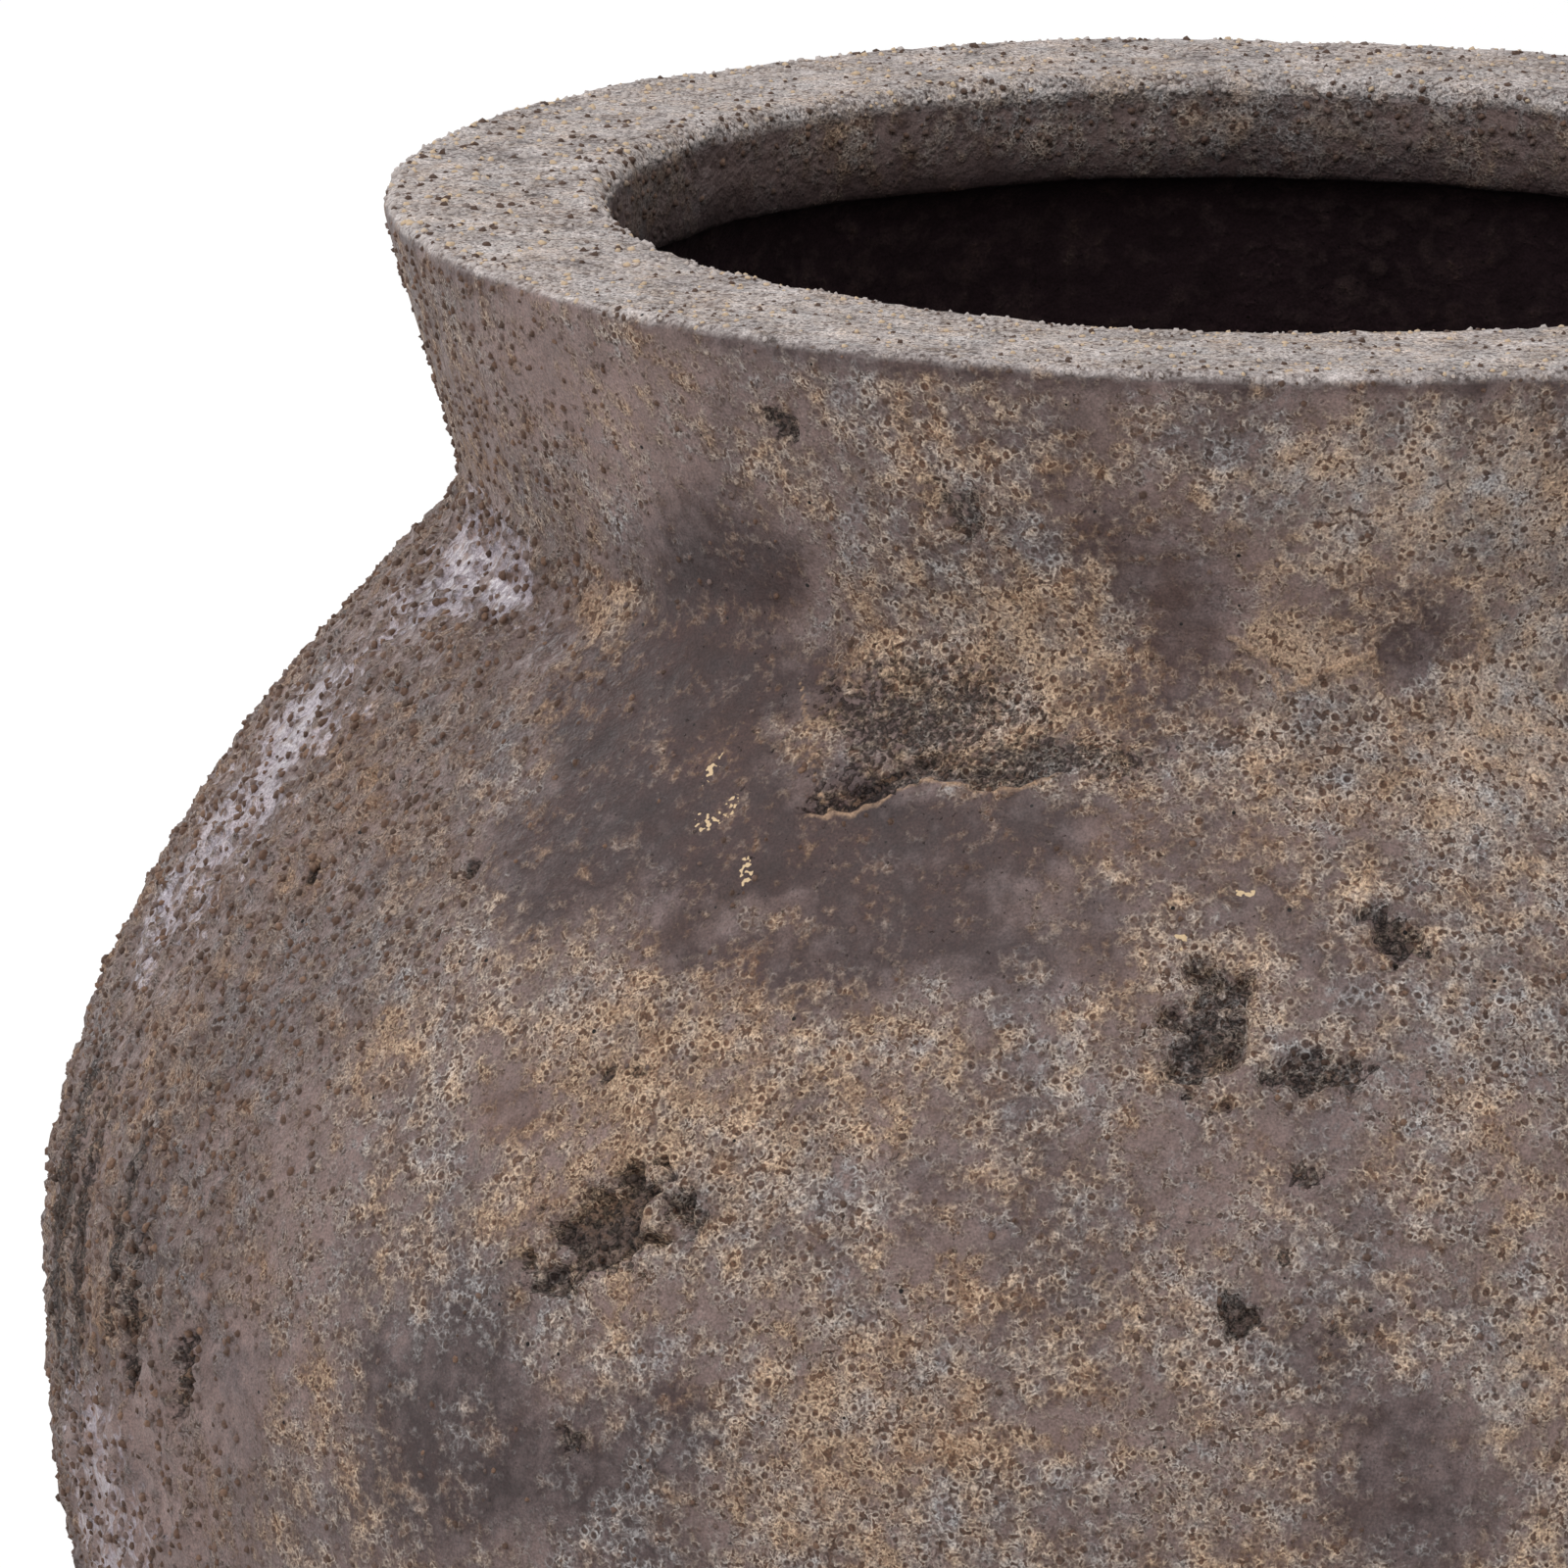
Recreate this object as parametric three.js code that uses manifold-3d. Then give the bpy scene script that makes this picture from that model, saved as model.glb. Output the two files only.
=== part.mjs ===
// A round stoneware jar planter: a wide belly, a drawn-in neck and a flared collar with a flat rim.
// The pot is one fired piece. A rubber bung closes its drain hole from the inside and lifts out
// through the mouth, and four glued rubber pads keep the foot off the ground.
// Millimetres, +Z up. The origin is on the jar's axis, on the ground under the pads.
import * as THREE from "three";
import { mergeVertices } from "three/addons/utils/BufferGeometryUtils.js";
import Module from "manifold-3d";

// The jar's outline, from the ground up
const overallHeight = 390;
const footRadius = 112;
const footBandHeight = 11;
const footEdge = 4;
const bellyRadius = 200;
const bellyHeight = 214;
const shoulderRadius = 145;
const neckRadius = 130.5; // where the lines of shoulder and collar cross, before the fillet
const rimRadius = 146;
const shoulderDrop = 64; // from the rim down to where the shoulder meets the neck's fillet
const neckDrop = 50; // from the rim down to where the lines cross
const collarRise = 11; // from there up to where the collar runs straight

// The rim and the lip inside the mouth
const mouthRadius = 109;
const lipDepth = 18;
const rimOuterEdge = 3;
const rimInnerEdge = 4;
const throatEdge = 2;
const coveDepth = 14; // of the hollow under the lip

// Walls
const wall = 16;
const floorThickness = 20;
const floorFillet = 12;

// The underside: a shallow recess inside the foot ring
const recessRadius = 78;
const recessDepth = 6;
const recessDraft = 3;

// The drain hole narrows downwards, and the bung is tapered to suit
const drainRadius = 15;
const drainTaper = 1.5;
const bungClearance = 0.3; // all round the stem, and under the flange
const bungFlangeOverlap = 9;
const bungFlangeThickness = 5;
const bungFlangeEdge = 2;
const bungProud = 2; // of the stem below the recess's ceiling
const bungTip = 2;

// The bung's moulded finger loop
const loopWidth = 24;
const loopHeight = 22;
const loopThickness = 8;
const loopHoleRadius = 6.5;
const loopBevel = 1.2;
const loopRoot = 2; // sunk into the flange, of which it is a part

// The pads under the foot ring
const padCount = 4;
const padRadius = 12;
const padThickness = 3;
const padEdge = 0.8;
const glueFilm = 0.3;

// Facets
const turnSteps = 64;
const bungSteps = 32;
const padSteps = 24;
const longCurveSteps = 9;
const shortCurveSteps = 4;
const edgeSteps = 3;

// Heights that follow from the sizes above
const footPlane = padThickness + glueFilm;
const footTop = footPlane + footBandHeight;
const recessCeiling = footPlane + recessDepth;
const floorHeight = recessCeiling + floorThickness;
const shoulderHeight = overallHeight - shoulderDrop;
const neckHeight = overallHeight - neckDrop;
const lipBottom = overallHeight - lipDepth;

const wasm = await Module();
wasm.setup();

const materials = {
  stoneware: new THREE.MeshStandardMaterial({ color: 0x655a53, roughness: 0.85, metalness: 0 }),
  bungRubber: new THREE.MeshStandardMaterial({ color: 0x2b2a29, roughness: 0.7, metalness: 0 }),
  padRubber: new THREE.MeshStandardMaterial({ color: 0x1f1e1e, roughness: 0.8, metalness: 0 }),
};

const at = (radius, height) => new THREE.Vector2(radius, height);

// A straight stretch of an outline.
const line = (from, to) => ({ curve: new THREE.LineCurve(from, to), steps: 1 });

// A bend that leaves along the line to its corner and arrives along the line from it.
const bend = (from, corner, to, steps) => ({
  curve: new THREE.QuadraticBezierCurve(from, corner, to),
  steps,
});

// A quarter-ellipse's stretch about a centre on the axis, from one angle to another.
const ellipse = (height, across, up, from, to, steps) => ({
  curve: new THREE.EllipseCurve(0, height, across, up, from, to, to < from),
  steps,
});

// The points of a chain of stretches, each stretch's last point being the next one's first.
function outline(stretches) {
  const points = stretches.flatMap(({ curve, steps }) => curve.getPoints(steps).slice(0, -1));
  const last = stretches.at(-1).curve;
  return [...points, last.getPoint(1)];
}

// A solid of revolution about +Z.
function revolve(points, steps) {
  return new THREE.LatheGeometry(points, steps).rotateX(Math.PI / 2);
}

// The upright semi-axis of an ellipse that bulges to one radius and narrows to another over a height.
function ellipseRise(bulge, narrow, height) {
  return height / Math.sqrt(1 - (narrow / bulge) ** 2);
}

// The part of the pot's outline that faces out, from the drain hole under the foot up to the rim.
function outerOutline() {
  const beltDrop = ellipseRise(bellyRadius, footRadius, bellyHeight - footTop);
  const footAngle = -Math.acos(footRadius / bellyRadius);
  const belt = at(bellyRadius, bellyHeight);
  const shoulder = at(shoulderRadius, shoulderHeight);
  const shoulderCorner = at(bellyRadius, (bellyHeight + shoulderHeight) / 2);
  const collarSlope = (rimRadius - neckRadius) / (overallHeight - neckHeight);
  const collarAt = (height) => at(neckRadius + collarSlope * (height - neckHeight), height);
  const drainBottom = at(drainRadius - drainTaper, recessCeiling);
  const recessEdge = at(recessRadius, recessCeiling);
  const ringInner = at(recessRadius + recessDraft, footPlane);
  const ringOuter = at(footRadius - footEdge, footPlane);
  const bandBottom = at(footRadius, footPlane + footEdge);
  const bandTop = at(footRadius, footTop);
  const collarFoot = collarAt(neckHeight + collarRise);
  const collarTop = collarAt(overallHeight - rimOuterEdge);
  const rimOuter = at(rimRadius - rimOuterEdge, overallHeight);
  return [
    line(drainBottom, recessEdge),
    line(recessEdge, ringInner),
    line(ringInner, ringOuter),
    bend(ringOuter, at(footRadius, footPlane), bandBottom, edgeSteps),
    line(bandBottom, bandTop),
    ellipse(bellyHeight, bellyRadius, beltDrop, footAngle, 0, longCurveSteps),
    bend(belt, shoulderCorner, shoulder, longCurveSteps),
    bend(shoulder, collarAt(neckHeight), collarFoot, shortCurveSteps),
    line(collarFoot, collarTop),
    bend(collarTop, collarAt(overallHeight), rimOuter, edgeSteps),
  ];
}

// The part that faces in, from the flat of the rim down to the floor and through the drain hole.
function innerOutline() {
  const innerBelly = bellyRadius - wall;
  const innerNeck = neckRadius - wall;
  const floorRadius = footRadius - wall / 2;
  const slantedWall = wall * Math.SQRT1_2;
  const bowlDrop = ellipseRise(innerBelly, floorRadius, bellyHeight - floorHeight);
  const filletAngle = -Math.asin((bellyHeight - floorHeight - floorFillet) / bowlDrop);
  const filletTop = at(innerBelly * Math.cos(filletAngle), floorHeight + floorFillet);
  const shoulder = at(shoulderRadius - slantedWall, shoulderHeight - slantedWall);
  const shoulderCorner = at(innerBelly, (bellyHeight + shoulder.y) / 2);
  const neckCorner = at(innerNeck, shoulder.y + (shoulder.x - innerNeck));
  const neckFoot = at(innerNeck, neckHeight);
  const coveFoot = at(innerNeck, lipBottom - coveDepth);
  const throatUnder = at(mouthRadius + throatEdge, lipBottom);
  const throatFace = at(mouthRadius, lipBottom + throatEdge);
  const mouthTop = at(mouthRadius, overallHeight - rimInnerEdge);
  const rimOuter = at(rimRadius - rimOuterEdge, overallHeight);
  const rimInner = at(mouthRadius + rimInnerEdge, overallHeight);
  const floorEdge = at(floorRadius - floorFillet, floorHeight);
  const drainTop = at(drainRadius, floorHeight);
  const drainBottom = at(drainRadius - drainTaper, recessCeiling);
  return [
    line(rimOuter, rimInner),
    bend(rimInner, at(mouthRadius, overallHeight), mouthTop, edgeSteps),
    line(mouthTop, throatFace),
    bend(throatFace, at(mouthRadius, lipBottom), throatUnder, edgeSteps),
    bend(throatUnder, at(innerNeck, lipBottom), coveFoot, shortCurveSteps),
    line(coveFoot, neckFoot),
    bend(neckFoot, neckCorner, shoulder, shortCurveSteps),
    bend(shoulder, shoulderCorner, at(innerBelly, bellyHeight), longCurveSteps),
    ellipse(bellyHeight, innerBelly, bowlDrop, 0, filletAngle, longCurveSteps),
    bend(filletTop, at(floorRadius, floorHeight), floorEdge, shortCurveSteps),
    line(floorEdge, drainTop),
    line(drainTop, drainBottom),
  ];
}

// The fired pot: collar, belly, foot ring and drain hole in one wall of clay.
function potBody() {
  const geometry = revolve(outline([...outerOutline(), ...innerOutline()]), turnSteps);
  return new THREE.Mesh(geometry, materials.stoneware);
}

// A closed geometry as a solid that can be joined.
function solidOf(geometry) {
  const bare = geometry.clone();
  bare.deleteAttribute("normal");
  bare.deleteAttribute("uv");
  const merged = mergeVertices(bare, 1e-3);
  const vertProperties = merged.attributes.position.array;
  const triVerts = new Uint32Array(merged.index.array);
  return new wasm.Manifold(new wasm.Mesh({ numProp: 3, vertProperties, triVerts }));
}

// A solid back as a geometry.
function geometryOf(solid) {
  const { vertProperties, triVerts } = solid.getMesh();
  const geometry = new THREE.BufferGeometry();
  geometry.setAttribute("position", new THREE.BufferAttribute(vertProperties, 3));
  geometry.setIndex(new THREE.BufferAttribute(triVerts, 1));
  geometry.computeVertexNormals();
  return geometry;
}

// The bung's tapered stem and its domed flange. The stem keeps the hole's taper, a clearance inside it.
function bungStem() {
  const taperPerHeight = drainTaper / floorThickness;
  const stemRadius = (height) =>
    drainRadius - bungClearance - taperPerHeight * (floorHeight - height);
  const flangeRadius = drainRadius + bungFlangeOverlap;
  const seat = floorHeight + bungClearance;
  const flangeTop = seat + bungFlangeThickness;
  const tip = recessCeiling - bungProud;
  const tipEdge = at(stemRadius(tip) - bungTip, tip);
  const tipTop = at(stemRadius(tip + bungTip), tip + bungTip);
  const stemTop = at(stemRadius(seat), seat);
  const flangeUnder = at(flangeRadius - bungFlangeEdge, seat);
  const flangeSide = at(flangeRadius, seat + bungFlangeEdge);
  const crown = at(0, flangeTop);
  return revolve(
    outline([
      line(at(0, tip), tipEdge),
      line(tipEdge, tipTop),
      line(tipTop, stemTop),
      line(stemTop, flangeUnder),
      bend(flangeUnder, at(flangeRadius, seat), flangeSide, edgeSteps),
      bend(flangeSide, at(flangeRadius, flangeTop), crown, shortCurveSteps),
    ]),
    bungSteps,
  );
}

// The finger loop: a round-headed tab with a hole, standing upright on the flange.
function fingerLoop() {
  const root = floorHeight + bungClearance + bungFlangeThickness - loopRoot;
  const half = loopWidth / 2 - loopBevel;
  const headHeight = loopRoot + loopHeight - loopWidth / 2;
  const tab = new THREE.Shape();
  tab.moveTo(-half, 0);
  tab.lineTo(half, 0);
  tab.lineTo(half, headHeight);
  tab.absarc(0, headHeight, half, 0, Math.PI);
  const hole = new THREE.Path().absarc(0, headHeight, loopHoleRadius + loopBevel, 0, 2 * Math.PI, true);
  tab.holes.push(hole);
  const body = loopThickness - 2 * loopBevel;
  const geometry = new THREE.ExtrudeGeometry(tab, {
    depth: body,
    bevelThickness: loopBevel,
    bevelSize: loopBevel,
    bevelSegments: 1,
    curveSegments: 8,
  });
  return geometry.translate(0, 0, -body / 2).rotateX(Math.PI / 2).translate(0, 0, root);
}

// The rubber bung, one moulding.
function drainBung() {
  const joined = solidOf(bungStem()).add(solidOf(fingerLoop()));
  return new THREE.Mesh(geometryOf(joined), materials.bungRubber);
}

// One pad, a disc with eased edges, standing on the ground.
function footPad() {
  const under = at(padRadius - padEdge, 0);
  const sideBottom = at(padRadius, padEdge);
  const sideTop = at(padRadius, padThickness);
  const geometry = revolve(
    outline([
      line(at(0, 0), under),
      line(under, sideBottom),
      line(sideBottom, sideTop),
      line(sideTop, at(0, padThickness)),
    ]),
    padSteps,
  );
  return new THREE.Mesh(geometry, materials.padRubber);
}

// The pads sit on the middle of the foot ring, evenly spaced.
function footPads() {
  const pads = new THREE.Group();
  const ringMiddle = (recessRadius + recessDraft + footRadius - footEdge) / 2;
  for (let i = 0; i < padCount; i++) {
    const angle = ((i + 0.5) / padCount) * 2 * Math.PI;
    const pad = footPad();
    pad.name = `foot_pad_${i + 1}`;
    pad.position.set(ringMiddle * Math.cos(angle), ringMiddle * Math.sin(angle), 0);
    pads.add(pad);
  }
  return pads;
}

const planter = new THREE.Group();
const pot = potBody();
pot.name = "pot_body";
const bung = drainBung();
bung.name = "drain_bung";
planter.add(pot, bung, footPads());

export default planter;
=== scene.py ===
"""The look of a rustic stoneware jar planter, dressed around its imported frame.

One fired pot is turned from its outline, pitted and scarred, and crusted with the coarse grit of its
clay. A rubber bung closes its drain hole, and rubber pads carry its foot. The pieces' sizes are in
millimetres, and the meshes are in metres. A turn is in degrees to the right of the front.
"""

from __future__ import annotations

import logging
import math
from dataclasses import dataclass, field
from enum import Enum
from typing import Any, Mapping, Sequence

import bmesh
import bpy
import numpy as np
from mathutils import Matrix, Vector, noise

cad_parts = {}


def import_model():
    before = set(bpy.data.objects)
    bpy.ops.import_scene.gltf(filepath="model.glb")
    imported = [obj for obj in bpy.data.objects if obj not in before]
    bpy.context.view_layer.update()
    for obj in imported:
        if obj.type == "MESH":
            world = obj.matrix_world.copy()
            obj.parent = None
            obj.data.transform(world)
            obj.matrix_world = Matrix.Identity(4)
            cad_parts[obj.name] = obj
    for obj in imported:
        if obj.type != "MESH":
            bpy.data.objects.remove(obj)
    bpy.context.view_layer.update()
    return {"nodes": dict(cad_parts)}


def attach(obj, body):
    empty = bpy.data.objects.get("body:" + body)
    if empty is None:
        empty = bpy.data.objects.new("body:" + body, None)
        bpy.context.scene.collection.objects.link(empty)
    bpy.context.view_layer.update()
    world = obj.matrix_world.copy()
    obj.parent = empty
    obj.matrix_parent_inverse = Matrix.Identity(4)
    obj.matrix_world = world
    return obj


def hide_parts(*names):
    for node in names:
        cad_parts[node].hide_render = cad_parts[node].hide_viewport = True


LOG = logging.getLogger("planter")
MM = 0.001
BAKE_MAP = "OFBake"

# Where a node's short name is looked up, in this order.
FAMILIES = ("ShaderNode", "GeometryNode", "FunctionNode", "")

Tree = bpy.types.NodeTree
Socket = bpy.types.NodeSocket
Given = dict[str, Socket]


def linear(code: str) -> tuple[float, float, float, float]:
    """Turns an sRGB hex colour into linear RGBA.

    Args:
        code: six hex digits, such as "5e524c".

    Returns:
        The colour's linear red, green, blue and an alpha of 1.
    """
    parts = [int(code[i : i + 2], 16) / 255 for i in (0, 2, 4)]
    red, green, blue = (c / 12.92 if c <= 0.04045 else ((c + 0.055) / 1.055) ** 2.4 for c in parts)
    return red, green, blue, 1.0


def repeats(size: float) -> float:
    """How often a pattern repeats in a metre, from the size of its marks in millimetres."""
    return 1 / (size * MM)


def add(
    tree: Tree,
    kind: str,
    inputs: Sequence[Any] | Mapping[Any, Any] = (),
    out: int | str = 0,
    **settings: Any,
) -> Socket:
    """Adds a node with its settings and links.

    Args:
        tree: the tree that takes the node.
        kind: the node's type, with its family only where two share it, or in capitals what a maths
            node does.
        inputs: sockets to link or values to set, by name or place, or in order with None for a gap.
        out: the output that is wanted, by place or name.
        **settings: the node's own properties.

    Returns:
        The wanted output. Its node gives the others.
    """
    if kind.isupper():
        kind, settings = "Math", {"operation": kind, **settings}
    node = tree.nodes.new(next(f + kind for f in FAMILIES if hasattr(bpy.types, f + kind)))
    for name, value in settings.items():
        setattr(node, name, value)
    pairs = inputs.items() if isinstance(inputs, Mapping) else enumerate(inputs)
    for key, value in pairs:
        if isinstance(value, Socket):
            tree.links.new(value, node.inputs[key])
        elif value is not None:
            node.inputs[key].default_value = value
    return node.outputs[out] if len(node.outputs) else node.inputs[0]


def emptied(owner: bpy.types.Material | bpy.types.World) -> Tree:
    """Gives a material or a world an empty node tree.

    Args:
        owner: the material or world.

    Returns:
        The tree.
    """
    owner.use_nodes = True
    owner.node_tree.nodes.clear()
    return owner.node_tree


def layered(tree: Tree, base: Any, layers: Sequence[tuple[Any, Any]]) -> Any:
    """Lays colours over one another.

    Args:
        tree: the material's tree.
        base: the lowest colour, as a socket or an sRGB hex colour.
        layers: the share and the colour of each layer above it, from the lowest up.

    Returns:
        The colour that shows.
    """
    colour = linear(base) if isinstance(base, str) else base
    for share, over in layers:
        top = linear(over) if isinstance(over, str) else over
        colour = add(tree, "Mix", {0: share, 6: colour, 7: top}, out=2, data_type="RGBA")
    return colour


def node_group(name: str, inputs: Mapping[str, str]) -> tuple[Tree, Given]:
    """Starts a geometry node tree with named inputs.

    Args:
        name: the tree's name.
        inputs: each input's name and socket type, after the geometry itself.

    Returns:
        The tree, and its input sockets by name.
    """
    tree = bpy.data.node_groups.new(name, "GeometryNodeTree")
    tree.interface.new_socket("Geometry", in_out="INPUT", socket_type="NodeSocketGeometry")
    tree.interface.new_socket("Geometry", in_out="OUTPUT", socket_type="NodeSocketGeometry")
    for title, kind in inputs.items():
        tree.interface.new_socket(title, in_out="INPUT", socket_type=kind)
    node = add(tree, "NodeGroupInput").node
    return tree, {socket.name: socket for socket in node.outputs if socket.name}


def grown(source: bpy.types.Object, tree: Tree, values: Mapping[str, Any]) -> bpy.types.Mesh:
    """Runs a geometry node tree on an object.

    Args:
        source: the object whose mesh goes in; it is left as it was.
        tree: the tree to run.
        values: the tree's inputs by name.

    Returns:
        The result as a plain mesh.
    """
    modifier = source.modifiers.new(tree.name, "NODES")
    modifier.node_group = tree
    for item in tree.interface.items_tree:
        if item.in_out == "INPUT" and item.name in values:
            modifier[item.identifier] = values[item.name]
    graph = bpy.context.evaluated_depsgraph_get()
    result = source.evaluated_get(graph)
    mesh = bpy.data.meshes.new_from_object(result, preserve_all_data_layers=True, depsgraph=graph)
    source.modifiers.remove(modifier)
    return mesh


def place(name: str, mesh: bpy.types.Mesh) -> bpy.types.Object:
    """Puts a mesh in the scene as an object at the origin.

    Args:
        name: the name that both take.
        mesh: the mesh.

    Returns:
        The object.
    """
    mesh.name = name
    piece = bpy.data.objects.new(name, mesh)
    bpy.context.scene.collection.objects.link(piece)
    return piece


def smooth_step(low: float, high: float, values: np.ndarray) -> np.ndarray:
    """Eases values from 0 at low to 1 at high, either of which may be the larger."""
    t = np.clip((values - low) / (high - low), 0, 1)
    return t * t * (3 - 2 * t)


def rough(points: np.ndarray, size: float) -> np.ndarray:
    """Reads smooth noise, about -1 to 1, at points.

    Args:
        points: places in millimetres, one a row.
        size: the noise's lump size in millimetres.

    Returns:
        One value a point.
    """
    return np.array([noise.noise(Vector(p)) for p in points / size])


class Region(Enum):
    """The stretches of the pot's outline, in the order in which they are turned."""

    UNDER = "recess and foot ring"
    WALL = "foot band, belly, shoulder and neck"
    COLLAR = "flared collar"
    RIM = "flat of the rim"
    LIP = "upright wall inside the mouth"
    INSIDE = "hollow below the lip"


@dataclass(frozen=True)
class JarOutline:
    """The pot's closed outline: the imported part's, up to 3 mm lower where grit stands on the shoulder."""

    height: float = 390.0
    foot_plane: float = 3.3
    foot_top: float = 14.3
    foot_radius: float = 112.0
    foot_edge: float = 4.0
    belly_radius: float = 200.0
    belly_height: float = 214.0
    belt_corner: float = 263.5
    shoulder_radius: float = 142.3
    shoulder_height: float = 327.5
    neck_radius: float = 130.3
    neck_height: float = 337.0
    collar_foot: float = 346.5
    rim_radius: float = 146.0
    rim_outer_edge: float = 3.0
    rim_inner_edge: float = 4.0
    mouth_radius: float = 109.0
    lip_bottom: float = 372.0
    throat_edge: float = 1.2
    cove_depth: float = 14.0
    wall: float = 16.0
    floor_height: float = 29.3
    floor_fillet: float = 12.0
    recess_ceiling: float = 9.3
    recess_radius: float = 78.0
    recess_draft: float = 3.0
    drain_radius: float = 15.0
    drain_taper: float = 1.5

    @staticmethod
    def straight(start: Sequence[float], end: Sequence[float], steps: int) -> np.ndarray:
        """Points along a line, without its end."""
        t = np.arange(steps)[:, None] / steps
        return np.asarray(start) * (1 - t) + np.asarray(end) * t

    @staticmethod
    def bend(
        start: Sequence[float], corner: Sequence[float], end: Sequence[float], steps: int
    ) -> np.ndarray:
        """Points along a bend, without its end.

        Args:
            start: where it starts.
            corner: the point that it heads for at its start and comes from at its end.
            end: where it ends.
            steps: the number of points.

        Returns:
            The points, one a row.
        """
        t = np.arange(steps)[:, None] / steps
        a, b, c = (np.asarray(p) for p in (start, corner, end))
        return (1 - t) ** 2 * a + 2 * t * (1 - t) * b + t * t * c

    @staticmethod
    def swell(
        height: float, radius: float, rise: float, angles: Sequence[float], steps: int
    ) -> np.ndarray:
        """Points along an ellipse about the axis, without its end.

        Args:
            height: the height of its middle.
            radius: its half-width.
            rise: its half-height.
            angles: the angles at which it starts and ends.
            steps: the number of points.

        Returns:
            The points, one a row.
        """
        start, end = angles
        turns = start + (end - start) * np.arange(steps) / steps
        return np.stack([radius * np.cos(turns), height + rise * np.sin(turns)], axis=1)

    def collar(self, height: float) -> tuple[float, float]:
        """The point of the collar's straight outside at a height."""
        slope = (self.rim_radius - self.neck_radius) / (self.height - self.neck_height)
        return self.neck_radius + slope * (height - self.neck_height), height

    def outside(self) -> list[tuple[Region, np.ndarray]]:
        """Lays out the outside.

        Returns:
            The stretches from under the foot up to the rim's outer edge.
        """
        top = self.height
        ring = (self.recess_radius + self.recess_draft, self.foot_plane)
        tread = (self.foot_radius - self.foot_edge, self.foot_plane)
        narrow = self.foot_radius / self.belly_radius
        drop = (self.belly_height - self.foot_top) / math.sqrt(1 - narrow**2)
        belly_angles = (-math.acos(narrow), 0)
        belt = (self.belly_radius, self.belly_height)
        shoulder = (self.shoulder_radius, self.shoulder_height)
        belt_corner = (self.belly_radius, self.belt_corner)
        collar_top = self.collar(top - self.rim_outer_edge)
        rim = (self.rim_radius - self.rim_outer_edge, top)
        band = (self.foot_radius, self.foot_plane + self.foot_edge)
        drain = (self.drain_radius - self.drain_taper, self.recess_ceiling)
        recess = (self.recess_radius, self.recess_ceiling)
        corner = (self.foot_radius, self.foot_plane)
        collar_foot = self.collar(self.collar_foot)
        return [
            (Region.UNDER, self.straight(drain, recess, 4)),
            (Region.UNDER, self.straight(recess, ring, 1)),
            (Region.UNDER, self.straight(ring, tread, 3)),
            (Region.WALL, self.bend(tread, corner, band, 3)),
            (Region.WALL, self.straight(band, (self.foot_radius, self.foot_top), 2)),
            (Region.WALL, self.swell(self.belly_height, self.belly_radius, drop, belly_angles, 40)),
            (Region.WALL, self.bend(belt, belt_corner, shoulder, 40)),
            (Region.WALL, self.bend(shoulder, self.collar(self.neck_height), collar_foot, 12)),
            (Region.COLLAR, self.straight(collar_foot, collar_top, 13)),
            (Region.COLLAR, self.bend(collar_top, self.collar(top), rim, 4)),
        ]

    def hollow(self) -> list[tuple[Region, np.ndarray]]:
        """Lays out the rim and the inside.

        Returns:
            The stretches from the flat of the rim down the inside and through the drain hole.
        """
        top = self.height
        inner_belly = self.belly_radius - self.wall
        inner_neck = self.neck_radius - self.wall
        slant = self.wall * math.sqrt(0.5)
        floor_radius = self.foot_radius - self.wall / 2
        depth = self.belly_height - self.floor_height
        drop = depth / math.sqrt(1 - (floor_radius / inner_belly) ** 2)
        fillet = -math.asin((depth - self.floor_fillet) / drop)
        fillet_top = (inner_belly * math.cos(fillet), self.floor_height + self.floor_fillet)
        shoulder = (self.shoulder_radius - slant, self.shoulder_height - slant)
        shoulder_corner = (inner_belly, (self.belly_height + shoulder[1]) / 2)
        neck_corner = (inner_neck, shoulder[1] + shoulder[0] - inner_neck)
        rim = (self.rim_radius - self.rim_outer_edge, top)
        rim_inner = (self.mouth_radius + self.rim_inner_edge, top)
        mouth_top = (self.mouth_radius, top - self.rim_inner_edge)
        throat = (self.mouth_radius, self.lip_bottom + self.throat_edge)
        throat_under = (self.mouth_radius + self.throat_edge, self.lip_bottom)
        cove_foot = (inner_neck, self.lip_bottom - self.cove_depth)
        neck_foot = (inner_neck, self.neck_height)
        floor_edge = (floor_radius - self.floor_fillet, self.floor_height)
        drain = (self.drain_radius, self.floor_height)
        drain_bottom = (self.drain_radius - self.drain_taper, self.recess_ceiling)
        corner = (self.mouth_radius, top)
        throat_corner = (self.mouth_radius, self.lip_bottom)
        floor_corner = (floor_radius, self.floor_height)
        belly = (inner_belly, self.belly_height)
        return [
            (Region.RIM, self.straight(rim, rim_inner, 12)),
            (Region.RIM, self.bend(rim_inner, corner, mouth_top, 4)),
            (Region.LIP, self.straight(mouth_top, throat, 6)),
            (Region.LIP, self.bend(throat, throat_corner, throat_under, 2)),
            (Region.INSIDE, self.bend(throat_under, (inner_neck, self.lip_bottom), cove_foot, 4)),
            (Region.INSIDE, self.straight(cove_foot, neck_foot, 2)),
            (Region.INSIDE, self.bend(neck_foot, neck_corner, shoulder, 4)),
            (Region.INSIDE, self.bend(shoulder, shoulder_corner, belly, 8)),
            (Region.INSIDE, self.swell(self.belly_height, inner_belly, drop, (0, fillet), 12)),
            (Region.INSIDE, self.bend(fillet_top, floor_corner, floor_edge, 3)),
            (Region.INSIDE, self.straight(floor_edge, drain, 5)),
            (Region.INSIDE, self.straight(drain, drain_bottom, 2)),
        ]

    def stretches(self) -> list[tuple[Region, np.ndarray]]:
        """All the stretches, from the drain hole's lower edge round to itself."""
        return self.outside() + self.hollow()

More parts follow.
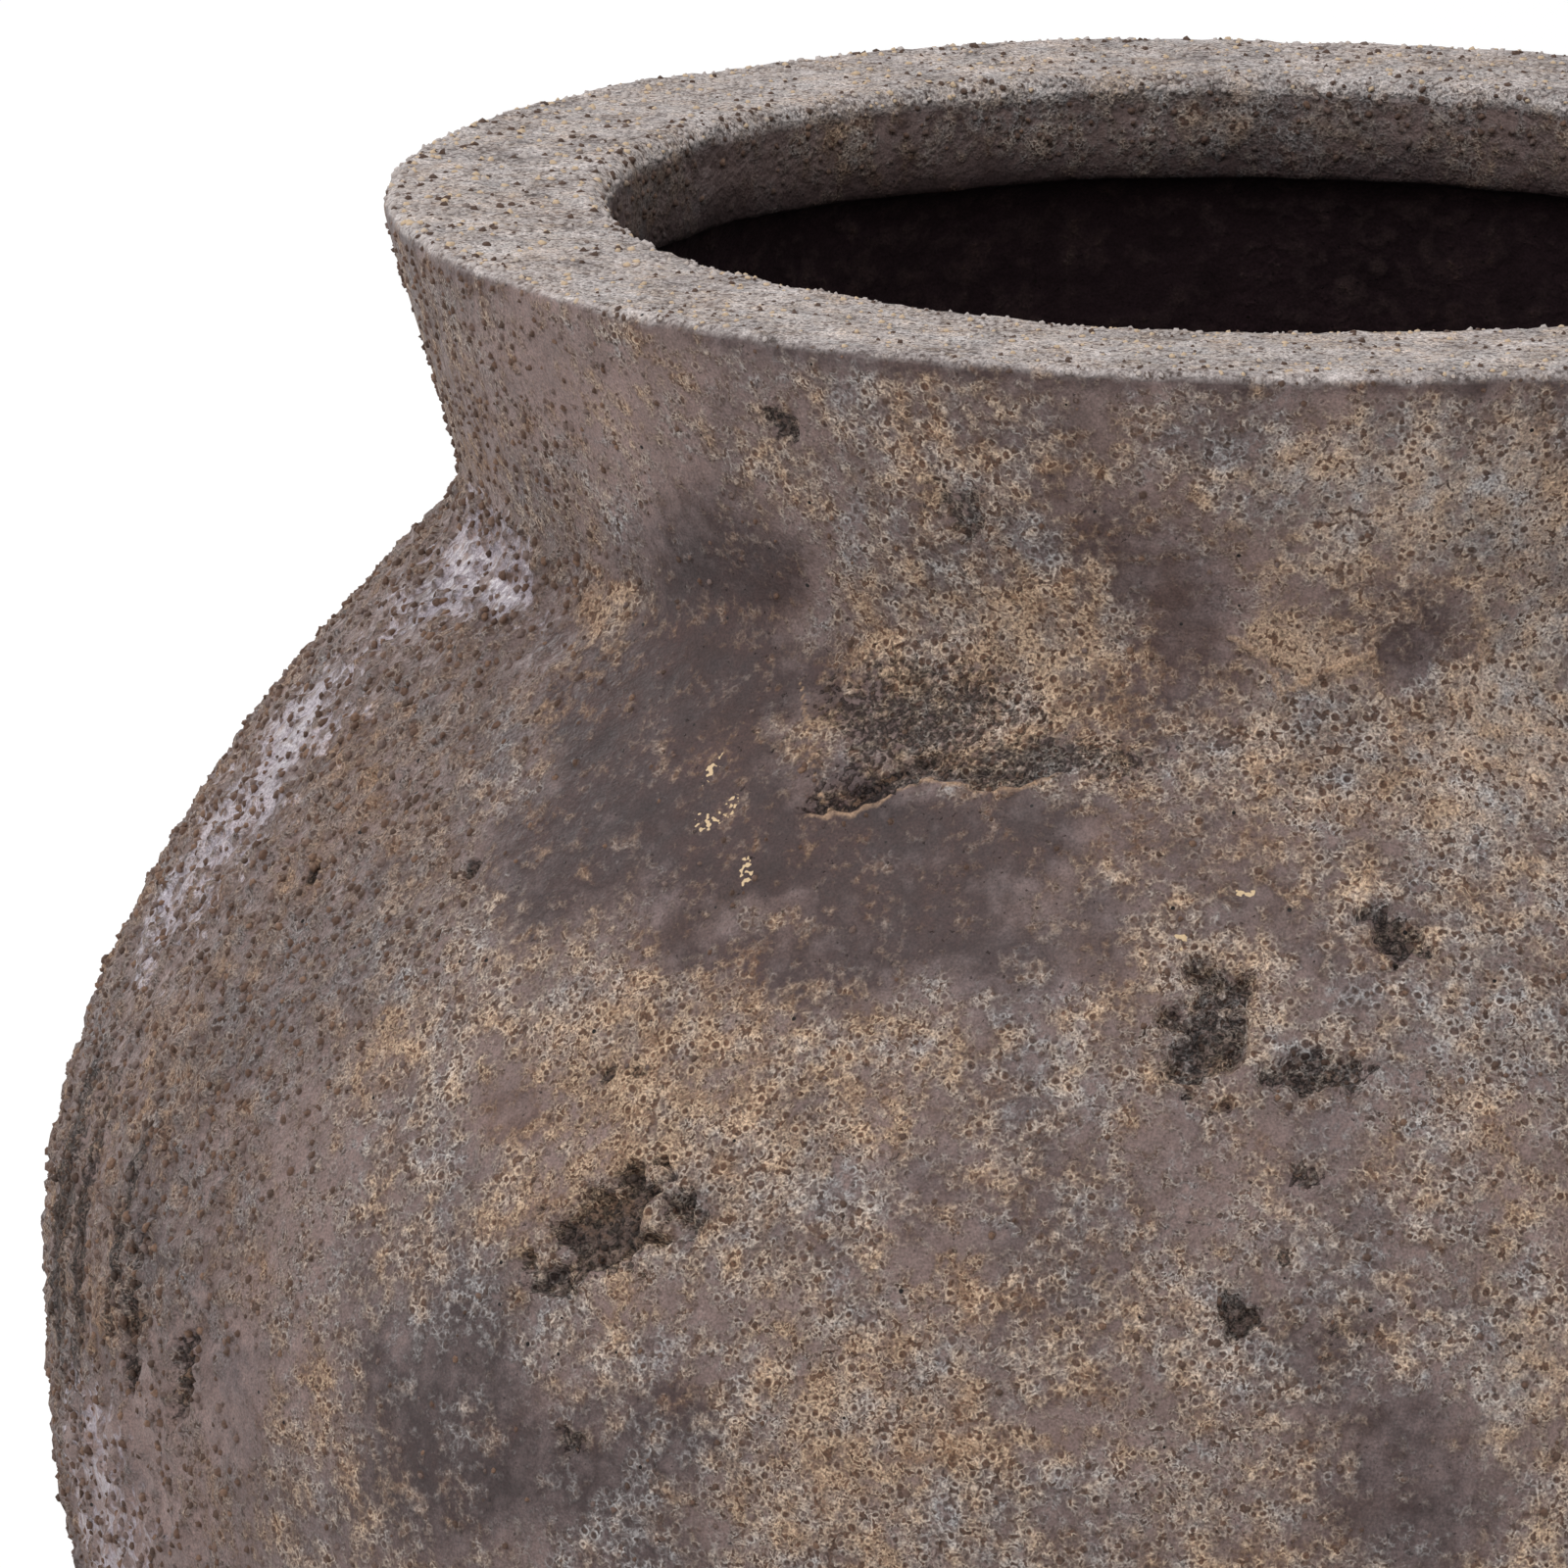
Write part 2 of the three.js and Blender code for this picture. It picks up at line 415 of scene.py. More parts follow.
    def points(self) -> np.ndarray:
        """Every (radius, height) of the outline, in order."""
        return np.concatenate([part for _, part in self.stretches()])

    def run(self) -> np.ndarray:
        """Each point's distance along the outline from its first point."""
        steps = np.linalg.norm(np.diff(self.points(), axis=0), axis=1)
        return np.concatenate([[0], np.cumsum(steps)])

    def regions(self) -> list[Region]:
        """Each point's region."""
        return [region for region, part in self.stretches() for _ in part]

    def run_at(self, height: float) -> float:
        """Finds a height on the outside of the wall.

        Args:
            height: the height.

        Returns:
            The distance to it along the outline.
        """
        points = self.points()
        outer = [i for i, region in enumerate(self.regions()) if region in (Region.WALL, Region.COLLAR)]
        return float(np.interp(height, points[outer, 1], self.run()[outer]))


@dataclass(frozen=True)
class Pit:
    """A ragged hole where clay broke out, by its middle, its size, its lean, its depth and its soot, which
    darkens the hole as soot and as painted shade.
    """

    turn: float
    height: float
    across: float
    up: float
    lean: float
    depth: float
    soot_and_shade: float = 0.9


@dataclass(frozen=True)
class Patch:
    """A soft patch of the skin with more or less crust, dust, soot, film or sheen than the rest. Its soot
    darkens as soot and as painted shade, and its sheen paints a lilac-white sheen on glossier slip.
    """

    turn: float
    height: float
    across: float
    up: float
    lean: float
    crust: float = 0.0
    warmth: float = 0.0
    shade: float = 0.0
    grit: float = 0.0
    soot_and_shade: float = 0.0
    film: float = 0.0
    sheen: float = 0.0


@dataclass(frozen=True)
class Crease:
    """A line on the skin, as (turn, height) points, raised or cut, with a raw or dark edge; a cut's dark
    edge is painted shade in the crack.
    """

    path: tuple[tuple[float, float], ...]
    width: float
    rise: float
    raw: float = 0.0
    soot_and_shade: float = 0.0


@dataclass(frozen=True)
class Scar:
    """A flake that came away above a ragged lip, which runs through (turn, height) points."""

    lip: tuple[tuple[float, float], ...]
    depth: float
    fade: float


@dataclass(frozen=True)
class Weather:
    """How a field of the skin starts: a level, and noises by weight and lump size, read at a shift."""

    name: str
    level: float
    shift: float
    noises: tuple[tuple[float, float], ...]


FRONT_PITS = (
    Pit(-31.9, 255.3, 29, 14, 38, 3.0),
    Pit(-26.8, 260.4, 5, 7, 0, 0.9, 0.6),
    Pit(-2.4, 291.5, 13, 22, -8, 3.0, 0.72),
    Pit(3.2, 286.6, 17, 8, 0, 2.2, 0.62),
    Pit(7.4, 305.2, 17, 6.5, -42, 2.2, 0.72),
    Pit(-0.5, 252.1, 6, 9, 15, 2.2, 0.8),
    Pit(4.3, 250.1, 16, 5, 0, 0.9, 0.25),
    Pit(-19.9, 363.7, 13, 9, -25, 0.9, 0.45),
    Pit(-32.4, 375.5, 6, 4.5, -25, 1.4, 0.7),
    Pit(-58.4, 216.3, 8, 16, -18, 2.6, 0.7),
    Pit(-64.6, 221.4, 9, 27, 0, 2.6),
    Pit(2.1, 272.3, 6, 3.5, 0, 0.8, 0.5),
    Pit(1.4, 261.3, 4, 3, 0, 0.8, 0.5),
    Pit(-31.9, 224.6, 5, 6, -30, 1.2, 0.6),
    Pit(-49.3, 300.1, 3, 4, 0, 1.6),
    Pit(-62.9, 291.8, 3, 4, 0, 1.6),
    Pit(-34.2, 277.7, 2, 2.4, 0, 1.2),
    Pit(-32.5, 279.1, 1.8, 1.8, 0, 1.2),
    Pit(-36.6, 280.1, 1.8, 2.6, 0, 1.2),
)

FRONT_PATCHES = (
    Patch(-40.5, 331.1, 27, 15, 15, crust=-0.65, shade=0.9),
    Patch(-32.7, 315.4, 27, 13, -10, crust=-0.5, shade=0.6),
    Patch(-23.1, 308.3, 27, 11, -15, crust=-0.5, shade=0.5),
    Patch(-17.1, 317.2, 22, 7, 5, crust=-0.6, shade=0.5),
    Patch(3.4, 299.1, 15, 12, 0, crust=-0.25, warmth=0.1, shade=-0.1),
    Patch(-12.9, 302.7, 24, 10, -10, crust=-0.4, shade=0.25),
    Patch(-42.0, 304.0, 32, 14, 0, crust=-0.35, shade=0.4),
    Patch(-48.3, 310.5, 14, 10, 0, crust=-0.25, shade=0.3),
    Patch(-70.5, 298.1, 16, 12, 0, shade=0.3),
    Patch(-26.0, 296.5, 21, 8, 0, crust=-0.4, shade=0.4),
    Patch(-38.6, 270.0, 10, 6, 0, crust=-0.4, shade=0.4),
    Patch(-26.8, 229.0, 13, 8, 0, crust=-0.35, warmth=-0.3, shade=0.35),
    Patch(-39.9, 351.7, 15, 9, 0, crust=-0.65, shade=0.65),
    Patch(-7.8, 360.0, 16, 11, 0, crust=-0.4, shade=0.4),
    Patch(-6.5, 339.6, 13, 11, 0, crust=-0.48, shade=0.35),
    Patch(-8.1, 332.5, 10, 6, 0, crust=-0.12, shade=0.25),
    Patch(9.8, 343.5, 10, 7, 20, crust=-0.4, shade=0.1),
    Patch(11.0, 352.5, 7, 6, 0, crust=-0.4, shade=0.3),
    Patch(-40.5, 234.0, 20, 15, 0, crust=-0.38, warmth=-0.6, shade=0.25),
    Patch(-36.6, 247.7, 7, 6, 0, crust=0.35, warmth=0.3, shade=-0.2),
    Patch(-39.6, 208.8, 16, 10, 0, crust=-0.35, shade=0.3),
    Patch(-31.2, 215.7, 19, 12, 0, crust=-0.45, warmth=-0.4, shade=0.35),
    Patch(7.2, 229.0, 15, 13, 0, crust=-0.45, warmth=-0.4, shade=0.35),
    Patch(-10.1, 266.2, 26, 16, 0, crust=-0.3, shade=0.15),
    Patch(2.0, 256.0, 18, 10, 0, crust=0.1, film=0.25),
    Patch(-54.0, 214.0, 13, 14, 0, crust=-0.6, warmth=-0.7, shade=-0.25),
    Patch(-53.2, 368.0, 34, 20, 0, crust=-0.15, warmth=-0.1, shade=-0.5, grit=0.05),
    # These lighten and cool the slip at the left limb and lay a painted sheen: a lilac-white painted
    # reflection of grazing light, on slip made glossier.
    Patch(-72.4, 335.8, 26, 7, 0, crust=-0.2, warmth=-0.2, shade=-0.3),
    Patch(-62.1, 200.2, 16, 16, 0, crust=-0.3, warmth=-0.5, shade=-0.6),
    Patch(-70.0, 180.0, 26, 24, 0, crust=-0.35, warmth=-0.4, shade=-0.5, sheen=0.6),
    Patch(-71.0, 335.0, 23, 10, 0, sheen=1.0),
    Patch(-77.0, 325.0, 16, 9, 0, sheen=0.6),
    Patch(-77.0, 306.0, 20, 15, 20, sheen=0.7),
    Patch(-79.0, 284.0, 24, 22, 0, sheen=0.9),
    Patch(-20.1, 341.8, 27, 16, 0, crust=0.3, warmth=0.4, shade=0.1),
    Patch(-33.2, 275.3, 54, 19, 8, crust=0.25, warmth=0.35, shade=-0.1),
    Patch(6.9, 330.6, 37, 11, 0, crust=0.3, warmth=0.2, shade=-0.2),
    Patch(-16.5, 234.5, 26, 30, 0, crust=0.25, warmth=0.3),
    Patch(12.8, 325.2, 22, 16, 0, crust=0.2, film=0.25),
    Patch(13.0, 364.0, 34, 18, 0, crust=0.3, warmth=0.1, shade=-0.3, film=0.8),
    Patch(14.5, 301.8, 13, 9, 0, crust=0.2, shade=-0.2, film=0.4),
    Patch(12.6, 247.4, 13, 9, 0, crust=0.2, shade=-0.2, film=0.35),
    Patch(19.0, 344.0, 12, 9, 0, crust=0.3, warmth=0.2, film=0.6),
    Patch(-14.6, 344.0, 10, 5, 0, crust=0.5, warmth=0.9, film=0.5),
    Patch(2.5, 344.8, 10, 6, 0, crust=0.5, warmth=0.9, shade=-0.2, film=0.8),
    Patch(-50.6, 336.9, 8, 5, 0, crust=0.4, warmth=0.8, film=0.5),
    Patch(16.3, 332.0, 13, 8, 0, crust=0.3, warmth=0.3, film=0.4),
    Patch(11.8, 235.9, 12, 12, 0, crust=0.2, warmth=0.3, film=0.3),
    Patch(-15.3, 372.2, 33, 13, 0, crust=0.05, warmth=0.15),
    Patch(-60.8, 261.6, 40, 32, 0, crust=0.1, warmth=-0.1),
    # Soot streaks down the left limb; the two by the scar add soot and painted shade to its recess.
    Patch(-73.0, 224.0, 3.5, 28, 3, soot_and_shade=0.72),
    Patch(-78.0, 224.0, 9, 26, 0, soot_and_shade=0.68),
    Patch(-67.0, 230.0, 2.5, 20, -4, soot_and_shade=0.65),
    Patch(-22.5, 331.0, 20, 10, 8, soot_and_shade=0.48),
    Patch(-14.0, 327.5, 16, 4, 0, soot_and_shade=0.52),
)

FRONT_CREASES = (
    Crease(((-2.1, 346.2), (-0.3, 343.2), (0.7, 340.0), (1.2, 336.1)), 1.4, 0.7, raw=0.8),
    Crease(((1.6, 337.5), (3.9, 340.1), (6.2, 342.3), (7.3, 343.3)), 1.4, 0.7, raw=0.8),
    Crease(((-32.1, 333.1), (-29.7, 326.7), (-27.6, 319.4), (-25.9, 317.0)), 0.8, 0.4, raw=1.0),
    # These two cuts are darkened along the crack with painted shade.
    Crease(((-25.0, 320.1), (-23.4, 323.4), (-20.9, 326.5)), 1.2, -1.6, soot_and_shade=1.0),
    Crease(((-18.6, 324.6), (-16.9, 325.6), (-15.2, 325.0)), 0.8, -1.0, soot_and_shade=0.9),
)

SCAR_LIP = (
    (-27.4, 316.6), (-24.7, 318.3), (-22.9, 320.6), (-21.1, 323.6),
    (-18.8, 323.1), (-16.6, 322.7), (-13.7, 324.2), (-12.5, 325.6),
)
FRONT_SCARS = (Scar(SCAR_LIP, depth=1.5, fade=9.0),)

FRONT_FLECKS = (
    Patch(-34.4, 313.6, 4.5, 3, 25),
    Patch(-33.0, 316.0, 2, 4, 0),
    Patch(-35.5, 320.5, 2, 5, -10),
    Patch(-30.3, 308.0, 2, 4.5, 20),
    Patch(-4.2, 303.9, 2.5, 2.5, 0),
    Patch(-0.8, 310.6, 2.5, 1.5, 0),
)

WEATHER = (
    Weather("crust", 0.52, 0, ((0.28, 28.0), (0.15, 11.0))),
    Weather("warmth", 0.5, 500, ((0.35, 30.0), (0.25, 11.0))),
    Weather("shade", 0.0, 900, ((0.2, 40.0),)),
    Weather("film", 0.0, 700, ((0.25, 24.0),)),
    Weather("grit", 0.05, 300, ((0.06, 18.0),)),
)


class Skin:
    """The pot's surface as arrays, one entry a vertex, on which marks are made."""

    PIT_ROOM = 1.05
    TINTED = ("crust", "warmth", "shade", "film", "grit", "sheen")
    FIELDS = (*TINTED, "coarse", "soot_and_shade", "pale", "raw", "rim", "inside")

    def __init__(self, mesh: bpy.types.Mesh, outline: JarOutline) -> None:
        """Reads a turned mesh.

        Args:
            mesh: the mesh, with its distance along the outline in the attribute "run".
            outline: the outline that it was turned from.
        """
        count = len(mesh.vertices)
        self.mesh = mesh
        self.outline = outline
        self.places = np.empty(count * 3)
        mesh.vertices.foreach_get("co", self.places)
        self.places = self.places.reshape(-1, 3) / MM
        self.normals = np.empty(count * 3)
        mesh.vertex_normals.foreach_get("vector", self.normals)
        self.normals = self.normals.reshape(-1, 3)
        self.run = np.empty(count)
        mesh.attributes["run"].data.foreach_get("value", self.run)
        self.turn = np.degrees(np.arctan2(self.places[:, 0], -self.places[:, 1]))
        self.radius = np.hypot(self.places[:, 0], self.places[:, 1])
        self.ragged = 0.45 * rough(self.places + 400, 14.0) + 0.3 * rough(self.places + 400, 6.0)
        self.lift = np.zeros(count)
        self.fields = {name: np.zeros(count) for name in self.FIELDS}

    def spread(self, turn: float, height: float) -> tuple[np.ndarray, np.ndarray]:
        """Measures every vertex from a place on the outside.

        Args:
            turn: degrees to the right of the front.
            height: the place's height.

        Returns:
            The millimetres to the right of it and above it, along the skin.
        """
        right = (self.turn - turn + 180) % 360 - 180
        return np.radians(right) * self.radius, self.run - self.outline.run_at(height)

    def leaned(self, mark: Pit | Patch) -> tuple[np.ndarray, np.ndarray]:
        """Measures every vertex from a mark.

        Args:
            mark: the mark.

        Returns:
            The distances along and across its lean, each in the mark's own sizes.
        """
        right, above = self.spread(mark.turn, mark.height)
        cos, sin = math.cos(math.radians(mark.lean)), math.sin(math.radians(mark.lean))
        along = right * cos + above * sin
        across = above * cos - right * sin
        return along / mark.across, across / mark.up

    def near(self, mark: Pit) -> np.ndarray:
        """Picks the vertices within reach of a pit, with room for its ragged edge."""
        along, across = self.leaned(mark)
        return np.hypot(along, across) < self.PIT_ROOM

    def from_path(self, path: Sequence[tuple[float, float]]) -> np.ndarray:
        """Measures every vertex from a line on the outside.

        Args:
            path: the line's (turn, height) places.

        Returns:
            The millimetres to its nearest point, along the skin.
        """
        best = np.full(len(self.run), np.inf)
        for (turn, height), (next_turn, next_height) in zip(path, path[1:]):
            right, above = self.spread(turn, height)
            long_right, long_above = self.spread(next_turn, next_height)
            leg_right, leg_above = right - long_right, above - long_above
            square = leg_right**2 + leg_above**2
            t = np.clip((right * leg_right + above * leg_above) / np.maximum(square, 1e-9), 0, 1)
            best = np.minimum(best, np.hypot(right - t * leg_right, above - t * leg_above))
        return best

    def press_pit(self, pit: Pit) -> None:
        """Breaks a pit out of the wall, ragged at its edge and rough at its bottom, and darkens it with
        soot and painted shade.

        Args:
            pit: the pit.
        """
        picked = np.nonzero(self.near(pit))[0]
        along, across = (values[picked] for values in self.leaned(pit))
        spots = self.places[picked]
        ragged = 0.75 * rough(spots, 4.5) + 0.45 * rough(spots, 1.9)
        reach = np.hypot(along, across) * 2 + ragged
        hollow = smooth_step(1.06, 0.72, reach)
        floor = 0.75 + 0.55 * rough(spots, 1.7)
        lip = smooth_step(1.4, 1.1, reach) * (1 - hollow)
        self.lift[picked] += 0.12 * pit.depth * lip - pit.depth * hollow * floor
        # The pit's soot field: soot, and painted shade in the hollow.
        soot_and_shade = self.fields["soot_and_shade"]
        black = smooth_step(1.3, 0.25, reach) * pit.soot_and_shade
        soot_and_shade[picked] = np.maximum(soot_and_shade[picked], black)

    def crease(self, crease: Crease) -> None:
        """Raises a ridge or cuts a crack along a line.

        Args:
            crease: the line, its width and its rise.
        """
        far = self.from_path(crease.path)
        picked = np.nonzero(far < crease.width * 3)[0]
        wander = far[picked] + 0.5 * crease.width * rough(self.places[picked], 2.4)
        ridge = smooth_step(crease.width, 0.2 * crease.width, wander)
        self.lift[picked] += crease.rise * ridge
        # A cut's soot field is painted shade in the crack.
        for name, amount in (("raw", crease.raw), ("soot_and_shade", crease.soot_and_shade)):
            self.fields[name][picked] = np.maximum(self.fields[name][picked], ridge * amount)

    def scar(self, scar: Scar) -> None:
        """Takes a flake away above a lip, leaves the lip's edge raw and pale, and darkens the recess above
        it with painted shade.

        Args:
            scar: the lip, and how deep and how high the flake went.
        """
        turns = np.array([turn for turn, _ in scar.lip])
        runs = np.array([self.outline.run_at(height) for _, height in scar.lip])
        above = self.run - np.interp(self.turn, turns, runs)
        ends = smooth_step(turns[0] - 1.5, turns[0], self.turn)
        ends = ends * smooth_step(turns[-1] + 2.0, turns[-1] - 1.0, self.turn)
        picked = np.nonzero((ends > 0) & (np.abs(above) < 4 * scar.fade))[0]
        above = above[picked] + 1.1 * rough(self.places[picked], 3.0)
        step = smooth_step(-0.5, 0.7, above) * np.exp(-np.maximum(above, 0) / scar.fade) * ends[picked]
        edge = np.exp(-((above + 0.7) ** 2) / 0.9) * ends[picked]
        self.lift[picked] += 0.5 * edge - scar.depth * step
        self.fields["raw"][picked] = np.maximum(self.fields["raw"][picked], edge)
        # Painted shade in the recess above the lip, kept in the soot field.
        shade = step * smooth_step(14, 1, above) * 0.66
        self.fields["soot_and_shade"][picked] = np.maximum(self.fields["soot_and_shade"][picked], shade)

    def weather(self, weather: Weather) -> None:
        """Starts a field.

        Args:
            weather: the field's name, level and noises.
        """
        amount = np.full(len(self.run), weather.level)
        for weight, size in weather.noises:
            amount = amount + weight * rough(self.places + weather.shift, size)
        self.fields[weather.name] += amount

    def tint(self, patch: Patch) -> None:
        """Lays a soft patch on the skin.

        Args:
            patch: the patch.
        """
        far = np.maximum(np.hypot(*self.leaned(patch)) + self.ragged, 0)
        amount = np.exp(-(far**3))
        for name in self.TINTED:
            self.fields[name] += getattr(patch, name) * amount
        self.fields["soot_and_shade"] = np.maximum(self.fields["soot_and_shade"], patch.soot_and_shade * amount)

    def fleck(self, patch: Patch) -> None:
        """Marks where the skin has peeled to pale flecks.

        Args:
            patch: the place and its size.
        """
        along, across = self.leaned(patch)
        amount = smooth_step(1.3, 0.4, np.hypot(along, across))
        self.fields["pale"] = np.maximum(self.fields["pale"], amount)

    def store(self) -> None:
        """Moves the vertices along their normals and writes the fields as attributes."""
        moved = (self.places + self.normals * self.lift[:, None]) * MM
        self.mesh.vertices.foreach_set("co", moved.ravel())
        for name, values in self.fields.items():
            layer = self.mesh.attributes.new(name, "FLOAT", "POINT")
            layer.data.foreach_set("value", np.clip(values, -1, 1).astype(np.float32))
        self.mesh.update()


class Lathe:
    """A node tree that turns an outline into a wall, with the dents and ripples of the hand."""

    INPUTS = {
        "Segments": "NodeSocketInt",
        "Closed": "NodeSocketInt",
        "Lump Size": "NodeSocketFloat",
        "Lump Depth": "NodeSocketFloat",
        "Dent Size": "NodeSocketFloat",
        "Dent Depth": "NodeSocketFloat",
        "Material": "NodeSocketMaterial",
    }
    WELD = 0.01

    def __init__(self) -> None:
        """Builds the tree once."""
        self.tree, self.given = node_group("turned_wall", self.INPUTS)
        wall = self.wall()
        lumps = self.lumps("Lump Size", "Lump Depth")
        dents = self.lumps("Dent Size", "Dent Depth")
        both = add(self.tree, "ADD", [lumps, dents])
        normal = add(self.tree, "InputNormal")
        offset = add(self.tree, "VectorMath", {0: normal, "Scale": both}, operation="SCALE")
        moved = add(self.tree, "SetPosition", {"Geometry": wall, "Offset": offset})
        smooth = add(self.tree, "SetShadeSmooth", {"Geometry": moved, "Shade Smooth": True})
        real = add(self.tree, "RealizeInstances", [smooth])
        done = add(self.tree, "SetMaterial", {"Geometry": real, "Material": self.given["Material"]})
        add(self.tree, "NodeGroupOutput", [done])

    def wall(self) -> Socket:
        """Bends a grid round the axis, a row to each point of the outline, and welds its seams.

        Returns:
            The wall.
        """
        tree, given = self.tree, self.given
        count = add(tree, "AttributeDomainSize", [given["Geometry"]], out="Point Count")
        rows = add(tree, "ADD", [count, given["Closed"]])
        columns = add(tree, "ADD", [given["Segments"], 1])
        grid = add(tree, "MeshGrid", [1.0, 1.0, columns, rows], out="Mesh").node
        index = add(tree, "InputIndex")
        turns = add(tree, "DIVIDE", [index, rows])
        column = add(tree, "FLOOR", [turns, 0])
        before = add(tree, "MULTIPLY", [column, rows])
        row = add(tree, "SUBTRACT", [index, before])
        point = add(tree, "FLOORED_MODULO", [row, count])
        position = add(tree, "InputPosition")
        source = {"Geometry": given["Geometry"], "Index": point}
        spot = add(tree, "SampleIndex", {**source, "Value": position}, data_type="FLOAT_VECTOR")
        named = add(tree, "InputNamedAttribute", ["run"], out="Attribute", data_type="FLOAT")
        run = add(tree, "SampleIndex", {**source, "Value": named}, data_type="FLOAT")
        share = add(tree, "DIVIDE", [column, given["Segments"]])
        angle = add(tree, "MULTIPLY", [share, 2 * math.pi])
        turned = add(tree, "VectorRotate", {"Vector": spot, "Angle": angle}, rotation_type="Z_AXIS")
        told = grid.outputs["Mesh"]
        for name, value, data_type, domain in (
            (BAKE_MAP, grid.outputs["UV Map"], "FLOAT2", "CORNER"),
            ("run", run, "FLOAT", "POINT"),
        ):
            facts = {"Geometry": told, "Name": name, "Value": value}
            told = add(tree, "StoreNamedAttribute", facts, data_type=data_type, domain=domain)
        bent = add(tree, "SetPosition", {"Geometry": told, "Position": turned})
        return add(tree, "MergeByDistance", {"Geometry": bent, "Distance": self.WELD * MM})

    def lumps(self, size: str, depth: str) -> Socket:
        """Adds noise that pushes the wall out and in.

        Args:
            size: the name of the input that holds its lump size.
            depth: the name of the input that holds how far it pushes.

        Returns:
            How far each place is pushed out.
        """
        scale = add(self.tree, "DIVIDE", [1.0, self.given[size]])
        lumpy = add(self.tree, "TexNoise", {"Scale": scale, "Detail": 1.0}, out="Fac")
        centred = add(self.tree, "SUBTRACT", [lumpy, 0.5])
        double = add(self.tree, "MULTIPLY", [self.given[depth], 2.0])
        return add(self.tree, "MULTIPLY", [centred, double])

    def turn(
        self,
        name: str,
        points: np.ndarray,
        segments: int,
        closed: bool,
        material: bpy.types.Material,
        lumps: tuple[float, float, float, float],
    ) -> bpy.types.Mesh:
        """Turns an outline.

        Args:
            name: the outline's name.
            points: its (radius, height) points in millimetres.
            segments: the steps round the axis.
            closed: whether the outline closes on itself, and not on the axis.
            material: the finish.
            lumps: the size and depth of the wall's lumps, and of its dents.

        Returns:
            The turned mesh.
        """
        outline = bpy.data.meshes.new(name + "_outline")
        spots = [(r * MM, 0.0, z * MM) for r, z in points]
        outline.from_pydata(spots, [(i, i + 1) for i in range(len(spots) - 1)], [])
        steps = np.linalg.norm(np.diff(points, axis=0), axis=1)
        run = outline.attributes.new("run", "FLOAT", "POINT")
        run.data.foreach_set("value", np.concatenate([[0], np.cumsum(steps)]).astype(np.float32))
        holder = place(name + "_outline", outline)
        values = {
            "Segments": segments,
            "Closed": int(closed),
            "Lump Size": lumps[0] * MM,
            "Lump Depth": lumps[1] * MM,
            "Dent Size": lumps[2] * MM,
            "Dent Depth": lumps[3] * MM,
            "Material": material,
        }
        mesh = grown(holder, self.tree, values)
        bpy.data.objects.remove(holder)
        bpy.data.meshes.remove(outline)
        return mesh


@dataclass(frozen=True)
class GritCells:
    """The spacing and size of the proud grit, which the slip's finish and the grains share.

    A cell of a 3-D Voronoi pattern holds at most one grain, at the cell's own point. The cell's
    random colour says whether it holds one where the grit is thin, and how large it is. A grain's
    radius is a share of its cell: the least, and more by chance, or a fine share of both on fine clay.
    """

    cell: float = 1.75
    least: float = 0.22
    more: float = 0.32
    fine: float = 0.6

    def scale(self) -> float:
        """The pattern's scale for places in metres."""
        return repeats(self.cell)


